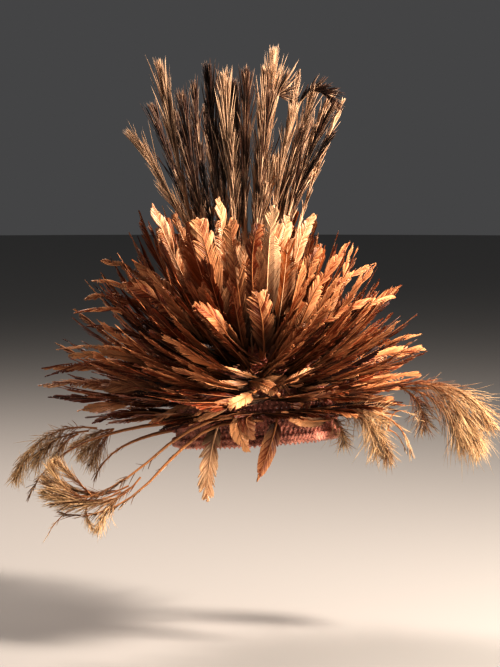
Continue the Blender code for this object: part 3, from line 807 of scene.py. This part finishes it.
def vane_strands(feather, thickness):
    """The barbs of both sides of one firm feather, in clumps that pull together at their tips."""
    style, rng, found = feather.style, np.random.default_rng(feather.seed), []
    outline = style.outlines[rng.integers(len(style.outlines))]
    half_width = feather.width / 2
    count = max(6, round(feather.length * (1 - style.start) / style.spacing))
    step = (VANE_END - style.start) / count
    for hand in (-1, 1):
        root = style.start + step * (np.arange(count) + 0.5 + rng.uniform(-BARB_PLACES, BARB_PLACES, count))
        angle = np.radians(style.angle_root + (style.angle_tip - style.angle_root) * root)
        cuts = np.sort(rng.uniform(style.start, 1, rng.integers(style.splits // 2, style.splits + 1)))
        clump, spread = np.searchsorted(cuts, root), rng.normal(0, 1, (3, len(cuts) + 1))
        edges = np.concatenate(([style.start], cuts, [1.0]))
        middle = (edges[clump] + edges[clump + 1]) / 2
        combed = (rng.random(len(cuts) + 1) < style.comb)[clump]
        angle = angle * (1 + CLUMP_ANGLES * spread[0][clump] + style.loose * rng.normal(0, 1, count))
        length = reach_to_edge(root, angle, outline, half_width, feather.length)
        length = length * (1 + style.ragged * rng.uniform(-1.0, 0.5, count) * (1 + combed))
        length = np.maximum(length, SHORTEST_BARB)
        reach = BARB_RINGS[None] * np.ones((count, 1))
        bend = angle[:, None] * BARB_BEND
        cosine, sine = np.cos(angle)[:, None], np.sin(angle)[:, None]
        onward = length[:, None] * (reach * cosine + bend * reach**2 / 2 * sine)
        sideways = length[:, None] * (reach * sine - bend * reach**2 / 2 * cosine)
        pinch = style.pinch * (middle - root)[:, None] * reach**2
        at = root[:, None] + onward / feather.length + pinch
        point, tangent, side, normal = along_line(feather.line, at)
        arch = -style.camber * feather.width * (sideways / half_width) ** 2
        lifted = CLUMP_LIFTS * spread[1][clump] + LOOSE_LIFT * style.loose * rng.normal(0, 1, count)
        arch = arch + length[:, None] * reach**2 * lifted[:, None]
        centre = point + hand * side * sideways[..., None] + normal * arch[..., None]
        slope = (angle[:, None] - bend * reach)[..., None]
        across = hand * tangent * np.sin(slope) - side * np.cos(slope)
        roll = rng.normal(0, BARB_ROLL, count)[:, None, None]
        rise = normal * np.cos(roll) - across * np.sin(roll)
        across = across * np.cos(roll) + normal * np.sin(roll)
        taper = np.where(combed[:, None], COMB_TAPER, BARB_TAPER)
        width = 0.5 * step * feather.length * np.sin(angle) * style.cover
        width = np.maximum(width, THINNEST_BARB)[:, None] * taper
        thick = thickness * taper
        tone = feather.tone + BARB_TONES * rng.normal(0, 1, count) + CLUMP_TONES * spread[2][clump]
        place = np.stack((at, reach, tone[:, None] + 0 * reach), -1)
        found.append(Strands(BARB, centre, across, rise, width, thick, place, 0.0))
    return found


HAIR_RINGS = np.array((0.0, 0.28, 0.56, 0.82, 1.0))
HAIR_TAPER = np.array((1.0, 1.0, 0.9, 0.7, 0.0))

# How unlike one another the barbs of a plume are
HAIR_LENGTHS, HAIR_ANGLES, HAIR_TONES = 0.3, 0.3, 0.15
STRAY_ANGLE = 2.0  # how many times wider a stray barb stands
SHORTEST_HAIR = 1.5 * MM
PAST_TIP = 5 * MM


def hair_strands(feather):
    """The long loose barbs of a plume, which curl and hang."""
    style, rng = feather.style, np.random.default_rng(feather.seed)
    count = max(12, round(feather.length * style.density))
    shares, lengths = zip(*style.fringe)
    root = np.sqrt(rng.uniform(0.0004, 0.97, count))
    length = np.interp(root, shares, lengths) * feather.width * (1 + HAIR_LENGTHS * rng.normal(0, 1, count))
    room = (1.0 - root) * feather.length + PAST_TIP
    length = np.clip(length, SHORTEST_HAIR, room * rng.uniform(0.8, 1.2, count))
    point, tangent, side, normal = along_line(feather.line, root)
    angle = np.radians(style.angle) * (1 + HAIR_ANGLES * rng.normal(0, 1, count))
    stray = rng.random(count) < style.stray
    angle = np.where(stray, angle * STRAY_ANGLE, angle)[:, None]
    right = rng.random(count) < 0.5
    roll = np.where(right, 0, math.pi) + np.radians(style.roll) * rng.normal(0, 1, count)
    outward = side * np.cos(roll)[:, None] + normal * np.sin(roll)[:, None]
    start = tangent * np.cos(angle) + outward * np.sin(angle)
    curl = style.curl * rng.normal(0, 1, (count, 3)) + style.forward * tangent
    curl[:, 2] -= style.droop * rng.uniform(0.5, 1.5, count)
    reach = HAIR_RINGS[None, :, None]
    centre = point[:, None] + length[:, None, None] * (start[:, None] * reach + curl[:, None] * reach**2)
    direction = unit(start[:, None] + 2 * curl[:, None] * reach)
    across = unit(np.cross(normal[:, None] + 0.2 * side[:, None], direction))
    rise = np.cross(direction, across)
    thick = style.thick * HAIR_TAPER[None] * rng.uniform(0.7, 1.3, (count, 1))
    tone = feather.tone + HAIR_TONES * rng.normal(0, 1, count)
    place = np.stack(np.broadcast_arrays(root[:, None], HAIR_RINGS[None], tone[:, None]), -1)
    return Strands(HAIR, centre, across, rise, thick, thick, place, 0.0)


def feather_strands(feathers):
    """The quill and the barbs of each feather."""
    thickness, groups = sizes().vane_thickness, []
    for feather in feathers:
        groups.append(quill_strand(feather))
        if isinstance(feather.style, Loose):
            groups.append(hair_strands(feather))
        else:
            groups += vane_strands(feather, thickness)
    return groups


def parting_sweep(tier, azimuth):
    """How far a parted row's feathers turn away from the parting."""
    away = (math.degrees(azimuth) - PARTING_AZIMUTH + 180) % 360 - 180
    aside = math.copysign(PARTING_SWEEP * math.exp(-((away / PARTING_REACH) ** 2)), away)
    return tier.parted * math.radians(aside)


def ring_seat(tier):
    """How far out from the dome the middle of a row's ring lies."""
    return CAP_WALL + FIT_GAP + chord_drop(math.radians(tier.level), 2 * tier.count) + RING_SIZE / 2


def ring_start(tier, azimuth):
    """The middle of the ring's outer face at an azimuth."""
    return on_dome(azimuth, math.radians(tier.level), ring_seat(tier) + RING_SIZE / 2, 0)


def row_feather(tier, azimuth, reach, lifts, turns, twist, tone, breadth, seed):
    """A feather of a row, from the row's ring. breadth is a share of the row's own."""
    line = swept_line(ring_start(tier, azimuth), azimuth, reach, lifts, turns, twist)
    seed += int(1000 * tier.level)
    return Feather(line, reach, FEATHER_WIDTH * tier.width * breadth, tier.style, tone, seed)


def grown_to_back(azimuth):
    """A row's feathers are longer at the back than at the front."""
    return 1 - BACK_LONGER * math.cos(azimuth)


def tilt_undone(tier, azimuth):
    """What a row's feathers take back of the cap's tilt, so that the row stands level."""
    return tier.upright * WORN_TILT * math.cos(azimuth)


def ring_feathers(tier):
    """The feathers that the ring's solid has."""
    made, pitch = [], 2 * math.pi / tier.count
    for number in range(tier.count):
        chance = random.Random(100 * tier.level + number)
        azimuth = (number + SOCKET_SHIFT) * pitch
        shift = pitch * AZIMUTH_JITTER * chance.uniform(-1, 1)
        uneven = 1 + LENGTH_JITTER * chance.uniform(-1, 1)
        reach = FEATHER_LENGTH * tier.length * grown_to_back(azimuth) * uneven
        lift = math.radians(chance.uniform(-1, 1) * LIFT_JITTER) - tilt_undone(tier, azimuth)
        sweep = parting_sweep(tier, azimuth)
        twist = math.radians(TWIST_JITTER * chance.uniform(-1, 1))
        tone = tier.tone + RING_TONES * chance.uniform(-1, 1)
        lifts = (math.radians(tier.lift_root) + lift, math.radians(tier.lift_tip) + lift)
        turns = (shift + 0.3 * sweep, shift + sweep, shift + 1.2 * sweep)
        made.append(row_feather(tier, azimuth, reach, lifts, turns, twist, tone, 1, number))
    return made


def filling_feathers(tier):
    """Shorter and more uneven feathers between and behind those of the ring's solid."""
    made, chance = [], random.Random(int(1000 * tier.level) + 7)
    for number in range(tier.fill):
        azimuth = (number + chance.uniform(0.1, 0.9)) * 2 * math.pi / tier.fill
        reach = FEATHER_LENGTH * tier.length * grown_to_back(azimuth) * chance.uniform(*FILL_LENGTHS)
        lift = math.radians(chance.uniform(-FILL_LIFT, FILL_LIFT)) - tilt_undone(tier, azimuth)
        sweep = parting_sweep(tier, azimuth)
        curl = math.radians(chance.uniform(-FILL_CURL, FILL_CURL))
        bow = math.radians(chance.uniform(-FILL_BOW, FILL_BOW))
        twist = math.radians(chance.uniform(-FILL_TWIST, FILL_TWIST))
        root, tip = math.radians(tier.lift_root) + lift, math.radians(tier.lift_tip) + lift
        lifts, turns = (root, (root + tip) / 2, tip + curl), (0.3 * sweep, sweep, 1.2 * sweep + bow)
        tone = tier.tone + FILL_TONES * chance.uniform(-1, 1)
        breadth = chance.uniform(*FILL_BREADTHS)
        seed = FILL_SEED + number
        made.append(row_feather(tier, azimuth, reach, lifts, turns, twist, tone, breadth, seed))
    return made


def crossing_feathers(tier):
    """Feathers that lie close along the cap to both sides of the parting and cover it."""
    made, chance = [], random.Random(int(1000 * tier.level) + 11)
    count = CROSSING_COUNT if tier.parted else 0
    for number in range(count):
        offset = (number + 0.5) / count * 2 * CROSSING_REACH - CROSSING_REACH
        azimuth = math.radians(PARTING_AZIMUTH + offset)
        hand = 1 if offset + chance.uniform(-CROSSING_DOUBT, CROSSING_DOUBT) > 0 else -1
        turn = hand * math.radians(chance.uniform(*CROSSING_TURNS))
        root = math.radians(tier.lift_root * 0.4)
        tip = math.radians(tier.lift_tip * 0.75 + chance.uniform(-CROSSING_LIFT, CROSSING_LIFT))
        reach = FEATHER_LENGTH * tier.length * chance.uniform(*CROSSING_LENGTHS)
        twist = hand * math.radians(chance.uniform(*CROSSING_TWISTS))
        lifts, turns = (root, tip, tip), (0.7 * turn, turn, 1.15 * turn)
        # Painted shade: the feathers at the parting are darker than their row
        tone = tier.tone - CROSSING_PAINTED_SHADE + CROSSING_TONES * chance.uniform(-1, 1)
        breadth = chance.uniform(*CROSSING_BREADTHS)
        seed = CROSSING_SEED + number
        made.append(row_feather(tier, azimuth, reach, lifts, turns, twist, tone, breadth, seed))
    return made


def plume_line(start, tip, arch):
    """An arc from its socket to where a plume's tip stands."""
    chord = tip - start
    straight = float(np.linalg.norm(chord))
    lift, length = math.asin(chord[2] / straight), straight * arch / math.sin(arch)
    azimuth = math.atan2(chord[0], -chord[1])
    return swept_line(start, azimuth, length, (lift + arch, lift - arch), (0.0, 0.0), 0.0), length


def crown_plumes():
    """The long plumes of the crown, and beside each a thinner and shorter one."""
    made, chance = [], random.Random(78)
    for number, plume in enumerate(CROWN_PLUMES):
        start = ring_start(PLUME_RING, (number + SOCKET_SHIFT) * 2 * math.pi / PLUME_RING.count)
        place = heading(0.0, math.radians(plume.azimuth)) * plume.reach + (0, 0, plume.height)
        tip, arch = place * PLUME_LENGTH, math.radians(plume.arch)
        line, length = plume_line(start, tip, arch)
        width = PLUME_WIDTH * plume.width
        made.append(Feather(line, length, width, BRUSH, plume.tone, PLUME_SEED + number))
        aside = np.array([chance.uniform(-THIN_ASIDE, THIN_ASIDE) * MM for _ in range(3)])
        line, length = plume_line(start, tip * chance.uniform(*THIN_HEIGHTS) + aside, arch + 0.1)
        tone = plume.tone + chance.uniform(*THIN_TONES)
        width = PLUME_WIDTH * chance.uniform(*THIN_WIDTHS)
        made.append(Feather(line, length, width, BRUSH, tone, THIN_PLUME_SEED + number))
    return made


SHOWN = heading(VIEW_ELEVATION, VIEW_AZIMUTH) @ TILT  # towards the viewer, on the level cap


def shown_face(azimuth, level):
    """Midway between the dome's own direction at a place and the viewer's."""
    return dome_frame(azimuth, level)[1] + SHOWN


def photo_feather(row, start, face, twist, width, seed):
    """A feather that the photograph shows, from its start by its point midway to its tip."""
    line = drawn_line(start, seen(*row.via), seen(*row.tip), face, math.radians(twist))
    return Feather(line, line_length(line), width * MM, row.style, row.tone, seed)


def drawn_feathers(tier):
    """The feathers that the photograph shows one by one, from this row's ring."""
    made = []
    for number, drawn in enumerate(DRAWN):
        if drawn.row == tier.name:
            azimuth = math.radians(drawn.azimuth)
            start, face = ring_start(tier, azimuth), shown_face(azimuth, math.radians(tier.level))
            made.append(photo_feather(drawn, start, face, drawn.twist, drawn.width, DRAWN_SEED + number))
    return made


def knot_start(tied):
    """Where a single feather leaves its knot."""
    azimuth, level = math.radians(tied.azimuth), math.radians(tied.level)
    return on_dome(azimuth, level, CAP_WALL + FIT_GAP + KNOT_DEPTH, 0)


def pinned_feather(pinned):
    """One of the short feathers at the edge."""
    face = shown_face(math.radians(pinned.azimuth), math.radians(pinned.level))
    seed = abs(1000 * pinned.azimuth)
    return photo_feather(pinned, knot_start(pinned), face, pinned.twist, pinned.width, seed)


def tied_feathers(tied):
    """The solid's plume, then the tufts that leave its outer part."""
    azimuth, reach, twist = math.radians(tied.azimuth), PLUME_LENGTH * tied.length, math.radians(tied.twist)
    line = swept_line(knot_start(tied), azimuth, reach, np.radians(tied.lifts), np.radians(tied.turns), twist)
    seed = abs(1000 * tied.azimuth) + 17
    made = [Feather(line, reach, PLUME_WIDTH * tied.width, DOWN, tied.tone, seed)]
    for number, tuft in enumerate(TUFTS):
        if tuft.plume == tied.name:
            made.append(photo_feather(tuft, seen(*tuft.start), SHOWN, 0, tuft.fringe, TUFT_SEED + number))
    return made


def cord_mesh(name, lines, radius, sides, closed):
    """Cords swept along lines of points, made a mesh with flat joints smoothed."""
    curve = bpy.data.curves.new(name, "CURVE")
    curve.dimensions = "3D"
    curve.bevel_depth = radius
    curve.bevel_resolution = (sides - 4) // 2
    curve.use_fill_caps = not closed
    for line in lines:
        spline = curve.splines.new("POLY")
        spline.points.add(len(line) - 1)
        spline.points.foreach_set("co", np.c_[worn(line), np.ones(len(line))].astype(np.float32).ravel())
        spline.use_cyclic_u = closed
    holder = bpy.data.objects.new(name, curve)
    mesh = bpy.data.meshes.new_from_object(holder)
    bpy.data.objects.remove(holder)
    bpy.data.curves.remove(curve)
    mesh.name = name
    mesh.polygons.foreach_set("use_smooth", np.ones(len(mesh.polygons), dtype=bool))
    return mesh


def merged(meshes):
    """Several meshes as one."""
    bm = bmesh.new()
    for mesh in meshes:
        bm.from_mesh(mesh)
    meshes[0].clear_geometry()
    bm.to_mesh(meshes[0])
    bm.free()
    for mesh in meshes[1:]:
        bpy.data.meshes.remove(mesh)
    return meshes[0]


def meridian_levels():
    """Levels from the mouth to the crown with the distance up the dome at each."""
    levels = np.radians(np.linspace(0, 90, 361))
    points = on_dome(np.full(361, math.pi / 4), levels, 0, 0)
    distance = np.concatenate(([0], np.cumsum(np.linalg.norm(np.diff(points, axis=0), axis=1))))
    return levels, distance


def circumference(level):
    """How far it is round the dome at a level."""
    around = on_dome(np.linspace(0, 2 * math.pi, 73), level, 0, 0)
    return np.linalg.norm(np.diff(around, axis=0), axis=1).sum()


LOOP_POINTS = 6
LOOP_OVERLAP = 0.30  # how far a loop leans back over the last, as a share of its width
LOOP_HANG = 0.72  # how far a loop reaches up and down, as a share of the rows' height
LOOP_RELIEF = 0.75 * MM
LOOP_UNEVEN = 0.2 * MM


def net_lines(loop, row):
    """Rows of loops, each hung in the row before it, from the mouth to the crown."""
    levels, distance = meridian_levels()
    rng, lines = np.random.default_rng(5), []
    for number in range(int(distance[-1] / row) - 1):
        level = np.interp((number + 0.6) * row, distance, levels)
        loops = max(7, round(circumference(level) / loop))
        turn = np.arange(loops * LOOP_POINTS) / LOOP_POINTS
        uneven = np.repeat(rng.normal(0, 1, (2, loops)), LOOP_POINTS, axis=1)
        wave = 2 * math.pi * turn
        place = turn - LOOP_OVERLAP * np.sin(wave) + 0.05 * uneven[0] + 0.5 * (number % 2)
        up = -row * LOOP_HANG * (1 + 0.10 * uneven[1]) * np.cos(wave)
        out = CAP_WALL / 2 + LOOP_RELIEF * np.sin(wave) + LOOP_UNEVEN * uneven[0]
        lines.append(on_dome(2 * math.pi * place / loops, level, out, up))
    return lines


COIL_START = 1.2 * MM
COIL_TURNS = 4
COIL_PITCH = 2.1  # from one turn to the next, in radii of the cord
COIL_POINTS = 12


def crown_coil(cord):
    """The coil of cord that closes the crown."""
    turns = np.linspace(0, COIL_TURNS, COIL_TURNS * COIL_POINTS + 1)
    radius, around = COIL_START + turns * COIL_PITCH * cord, 2 * math.pi * turns
    return [np.stack((radius * np.cos(around), radius * np.sin(around), 0 * turns + COIL_START), -1)]


BRAID_PITCH = 1.25 * BAND_HEIGHT  # from one crossing to the next
BRAID_POINTS = 12
BRAID_SWING = 0.31 * BAND_HEIGHT
BRAID_RELIEF = 0.24 * BAND_THICKNESS


def braid_lines():
    """Three strands plaited round the mouth, flat against the cap."""
    crossings = round(circumference(0) / BRAID_PITCH)
    turn = np.arange(crossings * BRAID_POINTS) / BRAID_POINTS
    lines = []
    for strand in range(3):
        phase = 2 * math.pi * (turn + strand / 3)
        up = BAND_HEIGHT / 2 + BRAID_SWING * np.sin(phase)
        out = CAP_WALL + FIT_GAP + BAND_THICKNESS / 2 + BRAID_RELIEF * np.sin(2 * phase)
        lines.append(on_dome(2 * math.pi * turn / crossings, 0.0, out, up))
    return lines


LASHING_PITCH = 1.6 * RING_SIZE
LASHING_POINTS = 6


def lashing_lines(tier, ply):
    """Two plies of cord twisted round the ring that binds a row of quills."""
    level, seat = math.radians(tier.level), ring_seat(tier)
    turns = max(6, round(circumference(level) / LASHING_PITCH))
    turn = np.arange(turns * LASHING_POINTS) / LASHING_POINTS
    twist, lines, away = 2 * math.pi * turn, [], RING_SIZE / 2 - ply * 0.8
    for strand in (0, math.pi):
        out, up = seat + away * np.cos(twist + strand), away * np.sin(twist + strand)
        lines.append(on_dome(2 * math.pi * turn / turns, level, out, up))
    return lines


KNOT_TURNS = 4
KNOT_POINTS = 8
KNOT_RADIUS = 2.1 * MM
KNOT_UNEVEN = 0.2 * MM
KNOT_CORD = 0.7  # as a share of the lashings' ply


def knot_line(tied):
    """A few turns of cord round the root of a single feather."""
    turn = np.linspace(0, KNOT_TURNS, KNOT_TURNS * KNOT_POINTS + 1)
    away = KNOT_RADIUS + KNOT_UNEVEN * np.sin(5 * turn)
    out = CAP_WALL + FIT_GAP + KNOT_DEPTH * turn / KNOT_TURNS
    along, up = away * np.cos(2 * math.pi * turn), away * np.sin(2 * math.pi * turn)
    return on_dome(math.radians(tied.azimuth), math.radians(tied.level), out, up, along)


# Each finish and the slot that it stands for
CORD = ("Dyed plant-fibre cord", "knotted_cord")
RUST = ("Rust feather keratin", "rust_feather")
LIGHT = ("Light feather keratin", "light_feather")


class HeaddressOperator(bpy.types.Operator):
    """One step of the build, which can be undone"""

    bl_options = {"REGISTER", "UNDO"}


class HEADDRESS_OT_cap(HeaddressOperator):
    """Knots the cap: rows of looped cord closed by a coil at the crown"""

    bl_idname = "headdress.cap"
    bl_label = "Knotted Cap"

    def execute(self, context):
        size = sizes()
        net = cord_mesh("cap_net", net_lines(size.net_loop, size.net_row), size.net_cord, 4, True)
        coil = cord_mesh("cap_coil", crown_coil(size.net_cord), size.net_cord, 4, False)
        add_piece("knotted_cap", merged([net, coil]), *CORD, "cap")
        return {"FINISHED"}


class HEADDRESS_OT_band(HeaddressOperator):
    """Plaits the thick edge at the mouth of the cap"""

    bl_idname = "headdress.band"
    bl_label = "Braided Edge"

    def execute(self, context):
        mesh = cord_mesh("braided_edge", braid_lines(), sizes().braid_strand, 6, True)
        add_piece("braided_edge", mesh, *CORD, "rim_band")
        return {"FINISHED"}


class HEADDRESS_OT_lashings(HeaddressOperator):
    """Twists the cords that bind the rows of quills, and the knots of the single feathers"""

    bl_idname = "headdress.lashings"
    bl_label = "Lashings"

    def execute(self, context):
        ply = sizes().lashing
        rings = [line for tier in (*TIERS, PLUME_RING) for line in lashing_lines(tier, ply)]
        knots = [knot_line(tied) for tied in (*SIDE_PLUMES, *BRIM_FEATHERS)]
        bound = cord_mesh("ring_cords", rings, ply, 4, True)
        tied = cord_mesh("knot_cords", knots, ply * KNOT_CORD, 4, False)
        add_piece("lashings", merged([bound, tied]), *CORD)
        return {"FINISHED"}


class HEADDRESS_OT_tiers(HeaddressOperator):
    """Lays the rows of feathers round the cap"""

    bl_idname = "headdress.tiers"
    bl_label = "Rows of Feathers"

    def execute(self, context):
        for tier in TIERS:
            feathers = ring_feathers(tier) + filling_feathers(tier) + crossing_feathers(tier)
            mesh = joined_mesh(tier.name, feather_strands(feathers + drawn_feathers(tier)))
            add_piece(tier.name + "_feathers", mesh, *(LIGHT if "crown" in tier.name else RUST), tier.name)
        return {"FINISHED"}


class HEADDRESS_OT_top_plumes(HeaddressOperator):
    """Stands the long dark plumes in the crown"""

    bl_idname = "headdress.top_plumes"
    bl_label = "Top Plumes"

    def execute(self, context):
        plumes = crown_plumes() + drawn_feathers(PLUME_RING)
        mesh = joined_mesh("top_plume_barbs", feather_strands(plumes))
        add_piece("top_plume_barbs", mesh, "Dark plume keratin", "dark_plume", "top_plumes")
        return {"FINISHED"}


class HEADDRESS_OT_side_plumes(HeaddressOperator):
    """Hangs the drooping plumes from the brim"""

    bl_idname = "headdress.side_plumes"
    bl_label = "Side Plumes"

    def execute(self, context):
        for plume in SIDE_PLUMES:
            mesh = joined_mesh(plume.name, feather_strands(tied_feathers(plume)))
            add_piece(plume.name + "_down", mesh, "Golden down keratin", "dark_plume", plume.name)
        return {"FINISHED"}


class HEADDRESS_OT_brim_feathers(HeaddressOperator):
    """Ties on the short feathers below the lowest row"""

    bl_idname = "headdress.brim_feathers"
    bl_label = "Brim Feathers"

    def execute(self, context):
        for feather in BRIM_FEATHERS:
            mesh = joined_mesh(feather.name, feather_strands([pinned_feather(feather)]))
            add_piece(feather.name + "_vane", mesh, *(LIGHT if feather.style is PALE else RUST), feather.name)
        return {"FINISHED"}


FLOOR_HEIGHT = -0.30
FLOOR_RADIUS = 9.0
WORLD_LIGHT = 0.12
TONE_GAMMA = 0.74
TONE_EXPOSURE = 0.30

# The studio's soft lamps: azimuth and elevation in degrees, distance and size in metres, power in watts
Lamp = namedtuple("Lamp", "name azimuth elevation distance size power colour")
LAMPS = (
    Lamp("key", 16, 37, 1.8, 0.34, 76, "#fff2e6"),
    Lamp("fill", -100, 20, 2.4, 1.0, 2, "#fff4ea"),
    Lamp("low", 12, 0, 1.9, 0.5, 17, "#fff2e6"),
    Lamp("back", 170, 50, 2.2, 0.7, 46, "#fff0e6"),
)


def add_aimed(name, data, azimuth, elevation, distance, height):
    """A lamp or camera that looks at a height on the headdress's axis."""
    holder = bpy.data.objects.new(name, data)
    holder.location = [float(part) * distance for part in heading(elevation, azimuth)]
    holder.location.z += height
    toward = Vector((0, 0, height)) - holder.location
    holder.rotation_euler = toward.to_track_quat("-Z", "Y").to_euler()
    bpy.context.scene.collection.objects.link(holder)
    return holder


def studio_floor():
    """Flat pale paint with no gloss, so that only the soft shadow shows on it."""
    bm = bmesh.new()
    bmesh.ops.create_circle(bm, cap_ends=True, segments=96, radius=FLOOR_RADIUS)
    bmesh.ops.translate(bm, verts=bm.verts, vec=(0, 0, FLOOR_HEIGHT))
    mesh = bpy.data.meshes.new("floor")
    bm.to_mesh(mesh)
    bm.free()
    paint, node = new_material("Matt studio floor paint")
    shader = node("ShaderNodeBsdfPrincipled", Base_Color=solid(linear("#a3a2a0")), Roughness=0.9)
    node("ShaderNodeOutputMaterial", Surface=shader.outputs["BSDF"])
    mesh.materials.append(paint)
    floor = bpy.data.objects.new("floor", mesh)
    bpy.context.scene.collection.objects.link(floor)
    return floor


class HEADDRESS_OT_stage(HeaddressOperator):
    """Sets the pale floor, the soft lamps and the camera"""

    bl_idname = "headdress.stage"
    bl_label = "Stage"

    def execute(self, context):
        scene = context.scene
        studio_floor()
        for lamp in LAMPS:
            light = bpy.data.lights.new(lamp.name, "AREA")
            light.shape, light.size, light.energy = "DISK", lamp.size, lamp.power
            light.color = linear(lamp.colour)
            azimuth, elevation = math.radians(lamp.azimuth), math.radians(lamp.elevation)
            add_aimed(lamp.name, light, azimuth, elevation, lamp.distance, 0)
        world = bpy.data.worlds.new("studio")
        world.use_nodes = True
        sky = world.node_tree.nodes["Background"].inputs
        sky["Color"].default_value = solid(linear("#e6e6e8"))
        sky["Strength"].default_value = WORLD_LIGHT
        scene.world = world
        scene.view_settings.view_transform = "Standard"
        scene.view_settings.look = "None"
        scene.view_settings.gamma = TONE_GAMMA
        scene.view_settings.exposure = TONE_EXPOSURE
        lens = bpy.data.cameras.new("camera")
        lens.lens = LENS_MM
        scene.camera = add_aimed("camera", lens, VIEW_AZIMUTH, VIEW_ELEVATION, VIEW_DISTANCE, AIM_HEIGHT)
        return {"FINISHED"}


PIECES = (
    HEADDRESS_OT_cap,
    HEADDRESS_OT_band,
    HEADDRESS_OT_lashings,
    HEADDRESS_OT_tiers,
    HEADDRESS_OT_top_plumes,
    HEADDRESS_OT_side_plumes,
    HEADDRESS_OT_brim_feathers,
    HEADDRESS_OT_stage,
)


class VIEW3D_PT_headdress(bpy.types.Panel):
    """Lists the steps that build the headdress, and its sizes and colours"""

    bl_label = "Feathered Headdress"
    bl_space_type = "VIEW_3D"
    bl_region_type = "UI"
    bl_category = "Headdress"

    def draw(self, context):
        for piece in PIECES:
            self.layout.operator(piece.bl_idname)
        for group in (context.scene.headdress_sizes, context.scene.headdress_colours):
            for name in group.__annotations__:
                self.layout.prop(group, name)


CLASSES = (HeaddressSizes, HeaddressColours, *PIECES, VIEW3D_PT_headdress)


def register():
    for each in CLASSES:
        bpy.utils.register_class(each)
    bpy.types.Scene.headdress_sizes = PointerProperty(type=HeaddressSizes)
    bpy.types.Scene.headdress_colours = PointerProperty(type=HeaddressColours)


def unregister():
    del bpy.types.Scene.headdress_colours
    del bpy.types.Scene.headdress_sizes
    for each in reversed(CLASSES):
        bpy.utils.unregister_class(each)


def main():
    register()
    for piece in PIECES:
        group, step = piece.bl_idname.split(".")
        getattr(getattr(bpy.ops, group), step)()


if __name__ == "__main__":
    main()
